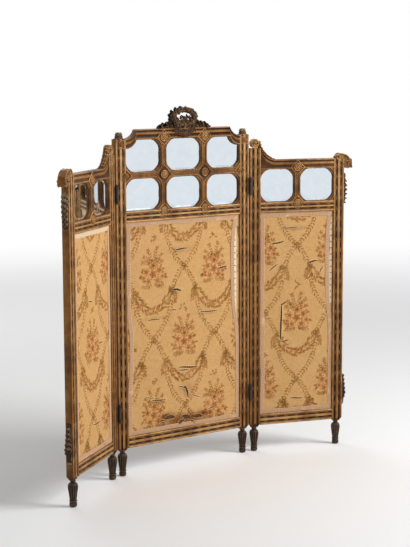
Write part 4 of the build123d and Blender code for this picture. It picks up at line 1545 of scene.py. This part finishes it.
class SCREEN_OT_edge_carvings(bpy.types.Operator):
    """Make the carved drops and brackets on the outer edges"""
    bl_idname = "screen.make_edge_carvings"
    bl_label = "Edge carvings"

    def execute(self, context):
        for leaf in SIDES:
            _, depth, heights = leaf.extent("edge_carvings")
            edge = leaf.extent("outer_stile")[0][1]
            middle = sum(depth) / 2
            bm = bmesh.new()
            # A full drop of husks and flowers below the ear
            top = heights[1]
            carved_body(bm, console_points(edge, top - 150, top, 9, 1.0), (middle - 8, middle + 8),
                        3)
            for index in range(6):
                size = 46 - 3 * index
                z = top - 2 - 23 * index
                out = edge + 6 + 6 * math.sin(math.pi * (index + 0.5) / 6)
                for swing, angle, wide, back in ((90, 180, 1, 0), (60, 196, 0.8, 3),
                                                 (120, 164, 0.8, 3)):
                    lay(bm, "acanthus", (out - back, middle, z), (size * wide, size * 0.62, size),
                        angle, 0, swing)
                for t, lift in ((-9, -6), (0, 0), (9, -6)):
                    lay(bm, "flower", (out + 1 + lift / 4, middle + t, z - 4 + lift),
                        (size * 0.17,) * 3, 0, 0, 90 + t * 3)
            # A leafy bracket above the foot, rolled up at its lower end
            low = heights[0]
            roll = Vector((edge - 3, 0, low + 26))
            carved_body(bm, console_points(edge, low, low + 178, 13), (middle - 11, middle + 11),
                        3.5)
            scroll(bm, roll, 17, 1.5, (middle - 11.5, middle + 11.5), 1, 200)
            for index in range(5):
                z = low + 30 + 24 * index
                size = 56 - 5 * index
                for swing, angle in ((90, 0), (48, 14), (132, -14)):
                    lay(bm, "acanthus", (edge + 4.5, middle, z), (size * 0.62, size * 0.4, size),
                        angle, 0, swing)
            for t in (-0.5, 3):
                lay(bm, "acanthus", (edge - 8, middle - 10 + t, low + 30 + 12 * t),
                    (26, 12, 44 - 4 * t), 4, 0, 0)
            add_piece(leaf, "edge_carvings", bm, "carved_wood", ["edge_carvings"],
                      lit_shade)
        return {"FINISHED"}


class Figure:
    """Fields over a cloth's grid that say how far each spot lies inside a woven figure."""

    NAMES = ("garland", "garland_shade", "bloom", "bloom_shade", "bloom_light")

    def __init__(self, s, z):
        self.s, self.z = s, z
        self.fields = {name: np.full((len(z), len(s)), -6.0) for name in self.NAMES}

    def spot(self, name, x, y, long, wide, angle):
        """One oval of a figure, with its long axis turned from +s by an angle in degrees."""
        reach = max(long, wide) + 8
        columns = np.flatnonzero(np.abs(self.s - x) < reach)
        rows = np.flatnonzero(np.abs(self.z - y) < reach)
        if not len(columns) or not len(rows):
            return
        part = np.ix_(rows, columns)
        across, up = np.meshgrid(self.s[columns] - x, self.z[rows] - y)
        turn = math.radians(angle)
        along = (across * math.cos(turn) + up * math.sin(turn)) / long
        aside = (up * math.cos(turn) - across * math.sin(turn)) / wide
        inside = (1 - np.hypot(along, aside)) * min(long, wide)
        self.fields[name][part] = np.maximum(self.fields[name][part], inside)

    def leaf(self, x, y, size, angle):
        """A woven leaf with a dark vein, starting at a spot."""
        turn = math.radians(angle)
        cx, cy = x + size * math.cos(turn), y + size * math.sin(turn)
        self.spot("garland", cx, cy, size, size * 0.46, angle)
        self.spot("garland_shade", cx - 0.2 * size * math.cos(turn), cy - 0.2 * size
                  * math.sin(turn), size * 0.7, size * 0.16, angle + 6)

    def flower(self, x, y, radius, rng):
        """A woven flower with shaded petals."""
        start = rng.uniform(0, 72)
        for index in range(5):
            angle = start + 72 * index
            turn = math.radians(angle)
            px, py = x + 0.55 * radius * math.cos(turn), y + 0.55 * radius * math.sin(turn)
            self.spot("bloom", px, py, radius * 0.52, radius * 0.42, angle)
            self.spot("bloom_shade", x + 0.32 * radius * math.cos(turn + 0.5), y + 0.32 * radius
                      * math.sin(turn + 0.5), radius * 0.3, radius * 0.12, angle + 60)
            self.spot("bloom_light", x + 0.72 * radius * math.cos(turn - 0.2), y + 0.72 * radius
                      * math.sin(turn - 0.2), radius * 0.24, radius * 0.12, angle + 80)
        self.spot("bloom_shade", x, y, radius * 0.2, radius * 0.16, start)

    def twig(self, points, pitch, size, rng, thick=0.0):
        """Leaves in pairs along a line, or crowded within a thickness."""
        lengths = [0.0]
        for before, after in zip(points, points[1:]):
            lengths.append(lengths[-1] + math.dist(before, after))
        count = max(2, round(lengths[-1] / pitch))
        for index in range(count + 1):
            reach = lengths[-1] * index / count
            part = max(0, min(len(points) - 2, np.searchsorted(lengths, reach) - 1))
            share = (reach - lengths[part]) / max(1e-6, lengths[part + 1] - lengths[part])
            (ax, ay), (bx, by) = points[part], points[part + 1]
            x, y = ax + (bx - ax) * share, ay + (by - ay) * share
            way = math.degrees(math.atan2(by - ay, bx - ax))
            for side in (-1, 1):
                angle = way + side * rng.uniform(30, 62)
                off = rng.uniform(0, thick) * side
                turn = math.radians(way + 90)
                self.leaf(x + off * math.cos(turn), y + off * math.sin(turn),
                          size * rng.uniform(0.75, 1.1), angle)

    def curve(self, x, y, ends, count=14):
        """Points of a bent line through a start, a pull and an end, from a cell's middle."""
        (ax, ay), (px, py), (bx, by) = ends
        points = []
        for index in range(count + 1):
            u = index / count
            points.append((x + (1 - u) ** 2 * ax + 2 * u * (1 - u) * px + u * u * bx,
                           y + (1 - u) ** 2 * ay + 2 * u * (1 - u) * py + u * u * by))
        return points

    def cell(self, x, y, width, height, rng):
        """One repeat: a bouquet framed by garlands, with a swag hung between two knots."""
        half = width / 2
        knot = (0.30 * width, -0.125 * height)
        foot = -0.46 * height
        for side in (-1, 1):
            kx, ky = side * knot[0], knot[1]
            self.twig(self.curve(x, y, ((kx, ky), (side * 0.30 * width, -0.33 * height),
                                        (0, foot))), 15, 8.2, rng, 3)
            self.twig(self.curve(x, y, ((side * half, 0.04 * height), (side * 0.40 * width, 0.0),
                                        (kx, ky))), 15, 8.2, rng, 3)
            self.twig(self.curve(x, y, ((kx, ky), (kx * 1.25, ky - 18), (kx * 1.2, ky - 52)), 6),
                      9, 8, rng)
            for index in range(8):
                self.leaf(x + kx + rng.uniform(-8, 8), y + ky + rng.uniform(-6, 12), 10,
                          rng.uniform(0, 360))
        swag = self.curve(x, y, ((-knot[0], knot[1]), (0, knot[1] - 0.27 * height), knot), 22)
        self.twig(swag, 6.5, 9.0, rng, 12)
        for index in (4, 8, 11, 14, 18):
            self.flower(swag[index][0], swag[index][1], 10, rng)
        for index in range(7):
            self.leaf(x + rng.uniform(-9, 9), y + foot + rng.uniform(-12, 12), 9,
                      rng.uniform(0, 360))
        # The bouquet
        for fx, fy, radius in ((0, 0, 25), (-36, 14, 17), (34, 17, 18), (-24, -30, 17),
                               (25, -30, 18), (2, 40, 16), (-50, -14, 11), (51, -12, 12),
                               (-20, 52, 10), (24, 56, 9)):
            for index in range(3):
                angle = math.degrees(math.atan2(fy, fx)) + rng.uniform(-60, 60)
                turn = math.radians(angle)
                self.leaf(x + fx + radius * 0.7 * math.cos(turn), y + fy + radius * 0.7
                          * math.sin(turn), rng.uniform(8, 12), angle)
            self.flower(x + fx, y + fy, radius * 1.12, rng)
        for lean, length in ((-34, 62), (-12, 84), (14, 78), (38, 58), (-62, 44), (64, 46)):
            turn = math.radians(90 + lean)
            end = (110 * math.sin(math.radians(-lean)) * length / 84, 36 + length * math.sin(turn))
            line = self.curve(x, y, ((0, 26), (end[0] * 0.3, 26 + length * 0.6), end), 8)
            self.twig(line, 12, 7.0, rng)
            self.flower(line[-1][0], line[-1][1], 8, rng)
        for side in (-1, 1):
            self.twig(self.curve(x, y, ((side * 8, -46), (side * 30, -62), (side * 52, -54)), 6),
                      10, 7.0, rng)
        for index in range(6):
            self.leaf(x + rng.uniform(-14, 14), y + 0.245 * height + rng.uniform(-12, 12), 8,
                      rng.uniform(0, 360))


# Where a bouquet lies on each leaf, and the tears: s, z, length, width, angle and lift
BOUQUETS = {"centre": (-3, 583), "left": (250, 642), "right": (240, 640)}
TEARS = {
    "centre": (
        (-42, 826, 52, 7, -8, 4), (-60, 735, 34, 3, 6, 2), (136, 710, 118, 3, 0, 3),
        (16, 460, 112, 5, -3, 4), (-6, 448, 66, 3, -10, 2), (-146, 326, 92, 3, -4, 3),
        (-196, 344, 60, 2, -16, 2), (8, 346, 62, 10, -72, 5), (-16, 370, 48, 3, -12, 3),
        (-86, 236, 56, 15, 4, 3), (6, 226, 44, 19, -20, 3), (70, 220, 52, 14, -8, 3),
        (-24, 206, 40, 8, 20, 3), (214, 908, 58, 5, 0, 3), (-18, 1012, 82, 4, 2, 3),
        (-168, 700, 84, 2.6, 0, 2), (110, 672, 40, 3, -30, 2), (60, 318, 60, 2.4, -14, 2),
        (150, 250, 46, 3, 8, 2), (46, 196, 40, 5, -30, 3), (-130, 225, 36, 4, 10, 2)),
    "left": (
        (165, 650, 62, 3, 0, 3), (265, 845, 52, 3, 8, 3), (218, 305, 92, 3, 2, 2),
        (140, 190, 30, 5, 10, 2)),
    "right": (
        (160, 622, 186, 6, 90, 4), (176, 714, 34, 4, 14, 3), (182, 531, 42, 4, 4, 3),
        (142, 1006, 70, 5, 12, 3), (322, 908, 54, 5, 14, 4), (242, 246, 70, 4, 0, 4),
        (120, 888, 60, 3, 32, 2), (366, 868, 36, 3, 60, 2), (200, 1076, 110, 2.4, 0, 2)),
}
BARE = {"centre": ((279, 297, 640, 1132),), "left": (), "right": ((410, 420, 700, 1120),)}
STAINS = {
    "centre": ((0, 215, 190, 40, 0.9), (-96, 240, 60, 26, 0.9), (80, 226, 80, 24, 0.9),
               (-160, 705, 120, 14, 0.45), (140, 706, 120, 14, 0.5), (-20, 1010, 90, 22, 0.5),
               (10, 360, 60, 50, 0.45), (0, 200, 330, 30, 0.4), (250, 540, 40, 300, 0.3)),
    "left": ((90, 320, 34, 150, 0.35), (240, 195, 190, 24, 0.5), (200, 400, 90, 60, 0.25)),
    "right": ((230, 1072, 110, 16, 0.5), (180, 450, 120, 70, 0.3), (380, 300, 40, 200, 0.3),
              (240, 196, 190, 24, 0.5), (120, 300, 90, 100, 0.25)),
}


TACK_PITCH = 30
CLOTH_THICKNESS = 0.6
TAPE_THICKNESS = 0.5
LINING_PITCH = 9


def cloth_grid(span_s, span_z, pitch):
    """A flat sheet in a front view, its columns and its rows."""
    columns = round((span_s[1] - span_s[0]) / pitch)
    rows = round((span_z[1] - span_z[0]) / pitch)
    bm = bmesh.new()
    bmesh.ops.create_grid(bm, x_segments=columns, y_segments=rows, size=0.5)
    for vert in bm.verts:
        vert.co = Vector((span_s[0] + (vert.co.x + 0.5) * (span_s[1] - span_s[0]), 0,
                          span_z[0] + (vert.co.y + 0.5) * (span_z[1] - span_z[0])))
    return bm, columns, rows


def from_edge(s, z, span_s, span_z):
    """How far each spot of a cloth lies from its nearest edge."""
    return np.minimum.reduce([s - span_s[0], span_s[1] - s, z - span_z[0], span_z[1] - z])


def give_thickness(piece, thickness):
    """Makes an open sheet as thick as given, behind its front."""
    solid = piece.modifiers.new("thickness", "SOLIDIFY")
    solid.thickness = thickness * MM
    solid.offset = -1


def wear_of(name, s, z):
    """How bare, how tacked and how stained each spot of a leaf's fabric is."""
    bare = np.zeros(len(s))
    tack = np.full(len(s), -6.0)
    for low_s, high_s, low_z, high_z in BARE[name]:
        inside = np.minimum.reduce([s - low_s, high_s - s, z - low_z, high_z - z])
        bare = np.maximum(bare, np.clip(inside / 3 + 0.5, 0, 1))
        row = (z - low_z + TACK_PITCH / 2) % TACK_PITCH - TACK_PITCH / 2
        off = np.hypot(s - (low_s + high_s) / 2, row)
        tack = np.maximum(tack, np.where(inside > 0, 3.4 - off, -6))
    stain = np.zeros(len(s))
    for cs, cz, wide, high, amount in STAINS[name]:
        spread = np.exp(-((s - cs) / wide) ** 2 - ((z - cz) / high) ** 2)
        stain = np.maximum(stain, amount * spread)
    return {"bare": bare, "tack": tack, "stain": stain}


def waviness(s, z, seed):
    """Slow unevenness of a stretched cloth, between about -1 and 1."""
    rng = np.random.default_rng(seed)
    total = np.zeros_like(s)
    for wide, high, amount in ((420, 260, 0.5), (190, 330, 0.3), (120, 90, 0.16), (60, 150, 0.1)):
        a, b = rng.uniform(0, 2 * math.pi, 2)
        bend = 1.2 * np.sin(z / high * 3 + b)
        across = np.sin(2 * math.pi * s / wide + a + bend)
        total += amount * across * np.cos(2 * math.pi * z / high + b)
    return total


def open_tears(s, z, t, tears):
    """Spreads and lifts the lips of each tear and tells how far a spot lies inside one."""
    slit = np.full(len(s), -20.0)
    for cs, cz, length, width, angle, lift in tears:
        turn = math.radians(angle)
        along = (s - cs) * math.cos(turn) + (z - cz) * math.sin(turn)
        aside = (z - cz) * math.cos(turn) - (s - cs) * math.sin(turn)
        aside = aside - 2.0 * np.sin(along / length * 5 + cs)
        share = np.clip(1 - (2 * along / length) ** 2, 0, None)
        ragged = 1 + 0.3 * np.sin(along * 0.5 + cs) + 0.25 * np.sin(along * 1.1 + cz)
        half = (0.8 + width / 2) * np.sqrt(share) * ragged
        near = share > 0
        slit = np.maximum(slit, np.where(near, half - np.abs(aside), -20))
        distance = np.clip(np.abs(aside) - half, 0, None)
        rise = np.exp(-(distance / 7) ** 2) * np.sqrt(share) * lift * min(1, 0.35 + width / 12)
        t = t - rise * np.where(aside < 0, 1.0, 0.35)
    return t, slit


class SCREEN_OT_fabrics(bpy.types.Operator):
    """Make the figured fabric of each leaf with its tears"""
    bl_idname = "screen.make_fabrics"
    bl_label = "Fabrics"

    def execute(self, context):
        cloth = context.scene.screen_cloth
        pitch = cloth.pitch * 1
        for number, leaf in enumerate(LEAVES):
            span_s, span_t, span_z = leaf.extent("fabric")
            bm, columns, rows = cloth_grid(span_s, span_z, pitch)
            places = np.array([vert.co for vert in bm.verts])
            s, z = places[:, 0], places[:, 2]
            column = np.rint((s - span_s[0]) / (span_s[1] - span_s[0]) * columns).astype(int)
            row = np.rint((z - span_z[0]) / (span_z[1] - span_z[0]) * rows).astype(int)
            figure = Figure(np.linspace(*span_s, columns + 1), np.linspace(*span_z, rows + 1))
            rng = random.Random(5 + number)
            x0, y0 = BOUQUETS[leaf.name]
            half_w, half_h = cloth.repeat_width / 2, cloth.repeat_height / 2
            for i in range(-4, 5):
                for j in range(-4, 5):
                    if (i + j) % 2:
                        continue
                    x, y = x0 + i * half_w, y0 + j * half_h
                    if abs(x - sum(span_s) / 2) < 600 and span_z[0] - 400 < y < span_z[1] + 400:
                        figure.cell(x, y, cloth.repeat_width, cloth.repeat_height, rng)
            slack = np.clip(from_edge(s, z, span_s, span_z) / 40, 0, 1)
            t = span_t[0] + 0.4 - 1.6 * slack * np.clip(waviness(s, z, 3 + number), -0.5, 1)
            t, slit = open_tears(s, z, t, TEARS[leaf.name])
            gap = slit > 1.4
            values = {name: field[row, column] for name, field in figure.fields.items()}
            values.update(wear_of(leaf.name, s, z), slit=slit)
            layers = {name: bm.verts.layers.float.new(name) for name in values}
            bm.verts.ensure_lookup_table()
            for index, vert in enumerate(bm.verts):
                vert.co.y = t[index]
                for name, layer in layers.items():
                    vert[layer] = values[name][index]
            torn = [face for face in bm.faces if sum(gap[v.index] for v in face.verts) >= 4]
            bmesh.ops.delete(bm, geom=torn, context="FACES")
            face_forward(bm)
            piece = add_piece(leaf, "fabric", bm, "figured_fabric", ["fabric"], crease=180,
                              closed=False)
            give_thickness(piece, CLOTH_THICKNESS)
        return {"FINISHED"}


class SCREEN_OT_plain_cloths(bpy.types.Operator):
    """Make the under linings and the cloths on the back"""
    bl_idname = "screen.make_plain_cloths"
    bl_label = "Linings and back cloths"

    def execute(self, context):
        for number, leaf in enumerate(LEAVES):
            for node, slot, forward in (("under_lining", "hessian", 0),
                                        ("back_cover", "back_cloth", 1)):
                span_s, span_t, span_z = leaf.extent(node)
                bm, _, _ = cloth_grid(span_s, span_z, LINING_PITCH)
                s = np.array([vert.co.x for vert in bm.verts])
                z = np.array([vert.co.z for vert in bm.verts])
                slack = np.clip(from_edge(s, z, span_s, span_z) / 60, 0, 1)
                sag = 1.2 * slack * waviness(s, z, 20 + number)
                for vert, drop in zip(bm.verts, sag):
                    vert.co.y = span_t[0] + 0.2 + (drop if forward else max(0, drop) * 0.3)
                face_forward(bm)
                piece = add_piece(leaf, node, bm, slot, [node], crease=180, closed=False)
                give_thickness(piece, CLOTH_THICKNESS)
        return {"FINISHED"}


# Places where the braid has come loose: edge, z range and how far it has moved in
LOOSE = {"centre": ((1, 640, 1150, 27.0), (3, 430, 720, 12.0)), "left": (),
         "right": ((1, 640, 1150, 17.0),)}
PLAIN = {"centre": (), "left": (2,), "right": ()}
BRAID_PERIOD = 11.0
BRAID_WIDTH = 20.0


def braid_height(along, across):
    """Relief of the braid: two cords that cross between two edge cords, in mm."""
    turn = 2 * math.pi * along / BRAID_PERIOD
    first = np.exp(-((across - 4.2 * np.sin(turn)) / 1.7) ** 2)
    second = np.exp(-((across + 4.2 * np.sin(turn)) / 1.7) ** 2)
    edges = np.exp(-((np.abs(across) - 8.2) / 1.2) ** 2) * (0.8 + 0.2 * np.cos(3 * turn))
    return 1.5 * np.maximum.reduce([first * (0.85 + 0.15 * np.cos(turn)), second * 0.85, edges])


def braid_strip(bm, layers, start, end, inward, width, front, loose, plain):
    """One length of braid with mitred ends, laid along a side of the fabric."""
    way = end - start
    length = way.length
    way.normalize()
    columns, rows = round(length / (2.2)), 10
    made = bmesh.ops.create_grid(bm, x_segments=columns, y_segments=rows, size=0.5)["verts"]
    share = np.array([[v.co.x + 0.5, v.co.y + 0.5] for v in made])
    offset = share[:, 1] * width
    along = offset + share[:, 0] * (length - 2 * offset)
    across = offset - width / 2
    height = braid_height(along, across) * (0.15 if plain else 1.0)
    scallop = 0.9 * np.cos(2 * math.pi * along / (BRAID_PERIOD / 2)) * np.clip(
        np.abs(across) / 5 - 1, 0, 1)
    shift = 1.2 * np.sin(along / 97) + 0.8 * np.sin(along / 41 + 1)
    shift *= np.clip(np.minimum(along, length - along) / 60, 0, 1)
    for low, high, amount in loose:
        spot = start.z + way.z * along
        shift += amount * np.exp(-np.clip(np.abs(spot - (low + high) / 2) / ((high - low) / 2), 0,
                                          3) ** 4)
    for index, vert in enumerate(made):
        place = start + way * along[index] + inward * (offset[index] + shift[index]
                                                       + math.copysign(scallop[index],
                                                                       across[index]))
        vert.co = Vector((place.x, front - height[index], place.z))
        vert[layers[0]] = height[index] / 1.35
        vert[layers[1]] = 1.0 if plain else 0.0


class SCREEN_OT_gimps(bpy.types.Operator):
    """Make the braid round each fabric, with the bare tape where it has come loose"""
    bl_idname = "screen.make_gimps"
    bl_label = "Gimps"

    def execute(self, context):
        for leaf in LEAVES:
            span_s, span_t, span_z = leaf.extent("gimp")
            bm = bmesh.new()
            layers = [bm.verts.layers.float.new(name) for name in ("weave", "bare")]
            corners = [Vector((span_s[0], 0, span_z[0])), Vector((span_s[1], 0, span_z[0])),
                       Vector((span_s[1], 0, span_z[1])), Vector((span_s[0], 0, span_z[1]))]
            inwards = [Vector((0, 0, 1)), Vector((-1, 0, 0)), Vector((0, 0, -1)), Vector((1, 0, 0))]
            for index in range(4):
                loose = [part[1:] for part in LOOSE[leaf.name] if part[0] == index]
                braid_strip(bm, layers, corners[index], corners[(index + 1) % 4], inwards[index],
                            BRAID_WIDTH, span_t[1] - 0.3, loose, index in PLAIN[leaf.name])
            face_forward(bm)
            piece = add_piece(leaf, "gimp", bm, "gimp_braid", ["gimp"], crease=180, closed=False)
            # The braid's height becomes its relief, for painted shade between its cords.
            weave = np.zeros(len(piece.data.vertices), np.float32)
            piece.data.attributes["weave"].data.foreach_get("value", weave)
            mark(piece.data, "relief", weave)
            give_thickness(piece, TAPE_THICKNESS)
        return {"FINISHED"}


class SCREEN_OT_hinges(bpy.types.Operator):
    """Give the hinges, pins and screws their aged metal"""
    bl_idname = "screen.make_hinges"
    bl_label = "Hinges and screws"

    def execute(self, context):
        for name, node in frame["nodes"].items():
            if "hinge" not in name:
                continue
            slot = "screw_steel" if "screws" in name else "hinge_iron"
            node.data.materials.clear()
            node.data.materials.append(finish_of(slot))
        return {"FINISHED"}


# The camera's place in metres, and its yaw, pitch and roll in degrees
CAMERA_SPOT = (-3.6763, -5.1358, 1.8209)
CAMERA_TURN = (35.5, -8.2, -0.2)
FLOOR_RADIUS = 60
FLOOR_FADE = (2.0, 9.0)
LAMP_AIM = Vector((0, 0, 0.85))
WORLD_LIGHT = 0.34


class SCREEN_OT_stage(bpy.types.Operator):
    """Make the floor, the lights, the world and the camera"""
    bl_idname = "screen.make_stage"
    bl_label = "Stage"

    def execute(self, context):
        stage = context.scene.screen_stage
        self.camera(context, stage)
        self.floor(context, stage)
        self.lights(context, stage)
        self.world(context)
        context.scene.view_settings.view_transform = "Standard"
        return {"FINISHED"}

    def camera(self, context, stage):
        """Stands the camera where the photograph was taken from."""
        yaw, pitch, roll = (math.radians(angle) for angle in CAMERA_TURN)
        level = math.cos(pitch)
        way = Vector((math.sin(yaw) * level, math.cos(yaw) * level, math.sin(pitch)))
        data = bpy.data.cameras.new("camera")
        data.sensor_width = 36
        data.lens = data.sensor_width * stage.focal / PHOTO_HEIGHT
        camera = bpy.data.objects.new("camera", data)
        camera.rotation_mode = "QUATERNION"
        turn = way.to_track_quat("-Z", "Y") @ Matrix.Rotation(roll, 4, "Z").to_quaternion()
        camera.location = CAMERA_SPOT
        camera.rotation_quaternion = turn
        data.clip_end = 200
        context.scene.collection.objects.link(camera)
        context.scene.camera = camera

    def floor(self, context, stage):
        """A wide pale floor that fades into the world."""
        bm = bmesh.new()
        bmesh.ops.create_circle(bm, cap_ends=True, segments=96, radius=FLOOR_RADIUS)
        mesh = bpy.data.meshes.new("floor")
        bm.to_mesh(mesh)
        bm.free()
        floor = bpy.data.objects.new("floor", mesh)
        context.scene.collection.objects.link(floor)
        material, tree, shader = new_material("floor")
        feed(shader, {"Base Color": stage.floor, "Roughness": 0.7, "Specular IOR Level": 0.2})
        place = add_node(tree, "ShaderNodeTexCoord").outputs["Object"]
        reach = add_node(tree, "ShaderNodeVectorMath", {0: place}, operation="LENGTH").outputs[
            "Value"]
        far = step(tree, reach, *FLOOR_FADE)
        glow = add_node(tree, "ShaderNodeEmission", {"Color": (1, 1, 1, 1), "Strength": 1.0})
        blend = add_node(tree, "ShaderNodeMixShader", {
            0: far, 1: shader.outputs["BSDF"], 2: glow.outputs["Emission"]})
        output = next(node for node in tree.nodes if node.type == "OUTPUT_MATERIAL")
        tree.links.new(blend.outputs[0], output.inputs["Surface"])
        mesh.materials.append(material)

    def lights(self, context, stage):
        """A large soft light high on the right and a weaker one on the left."""
        for name, power, spot, size in (
                ("key", stage.key_power, (3.4, -3.6, 3.5), 2.8),
                ("fill", stage.fill_power, (-3.4, -4.4, 2.6), 2.6),
                ("back", stage.fill_power * 2, (0.6, 4.6, 3.4), 3.0)):
            data = bpy.data.lights.new(name, "AREA")
            data.energy = power
            data.size = size
            lamp = bpy.data.objects.new(name, data)
            lamp.location = spot
            lamp.rotation_mode = "QUATERNION"
            lamp.rotation_quaternion = (LAMP_AIM - Vector(spot)).to_track_quat("-Z", "Y")
            context.scene.collection.objects.link(lamp)

    def world(self, context):
        """An even grey light that is seen as white."""
        world = bpy.data.worlds.new("world")
        context.scene.world = world
        world.use_nodes = True
        tree = world.node_tree
        tree.nodes.clear()
        ray = add_node(tree, "ShaderNodeLightPath").outputs
        seen = calc(tree, "MAXIMUM", calc(tree, "MAXIMUM", ray["Is Camera Ray"],
                                          ray["Is Glossy Ray"]), ray["Is Transmission Ray"])
        strength = calc(tree, "MULTIPLY_ADD", seen, 1 - WORLD_LIGHT, WORLD_LIGHT)
        glow = add_node(tree, "ShaderNodeBackground", {"Color": (1, 1, 1, 1), "Strength": strength})
        add_node(tree, "ShaderNodeOutputWorld", {"Surface": glow.outputs[0]})


STEPS = (SCREEN_OT_frames, SCREEN_OT_glazing, SCREEN_OT_rosettes, SCREEN_OT_mirrors,
         SCREEN_OT_backboards, SCREEN_OT_feet, SCREEN_OT_buds, SCREEN_OT_crest, SCREEN_OT_scrolls,
         SCREEN_OT_edge_carvings, SCREEN_OT_plain_cloths, SCREEN_OT_fabrics, SCREEN_OT_gimps,
         SCREEN_OT_hinges, SCREEN_OT_stage,)


class VIEW3D_PT_screen(bpy.types.Panel):
    """Lists the steps that make the screen."""
    bl_idname = "VIEW3D_PT_screen"
    bl_label = "Folding Screen"
    bl_space_type = "VIEW_3D"
    bl_region_type = "UI"
    bl_category = "Screen"

    def draw(self, context):
        layout = self.layout
        for group in (context.scene.screen_wood, context.scene.screen_cloth,
                      context.scene.screen_stage):
            box = layout.box()
            for name in group.__annotations__:
                box.prop(group, name)
        for step_class in STEPS:
            layout.operator(step_class.bl_idname)


CLASSES = (ScreenWood, ScreenCloth, ScreenStage) + STEPS + (VIEW3D_PT_screen,)


def register():
    """Registers every class and the settings of the scene."""
    for item in CLASSES:
        bpy.utils.register_class(item)
    bpy.types.Scene.screen_wood = PointerProperty(type=ScreenWood)
    bpy.types.Scene.screen_cloth = PointerProperty(type=ScreenCloth)
    bpy.types.Scene.screen_stage = PointerProperty(type=ScreenStage)


def unregister():
    """Takes the settings and every class away again."""
    for name in ("screen_wood", "screen_cloth", "screen_stage"):
        delattr(bpy.types.Scene, name)
    for item in reversed(CLASSES):
        bpy.utils.unregister_class(item)


def main():
    """Makes the whole screen."""
    register()
    for step_class in STEPS:
        group, name = step_class.bl_idname.split(".")
        getattr(getattr(bpy.ops, group), name)()


if __name__ == "__main__":
    main()
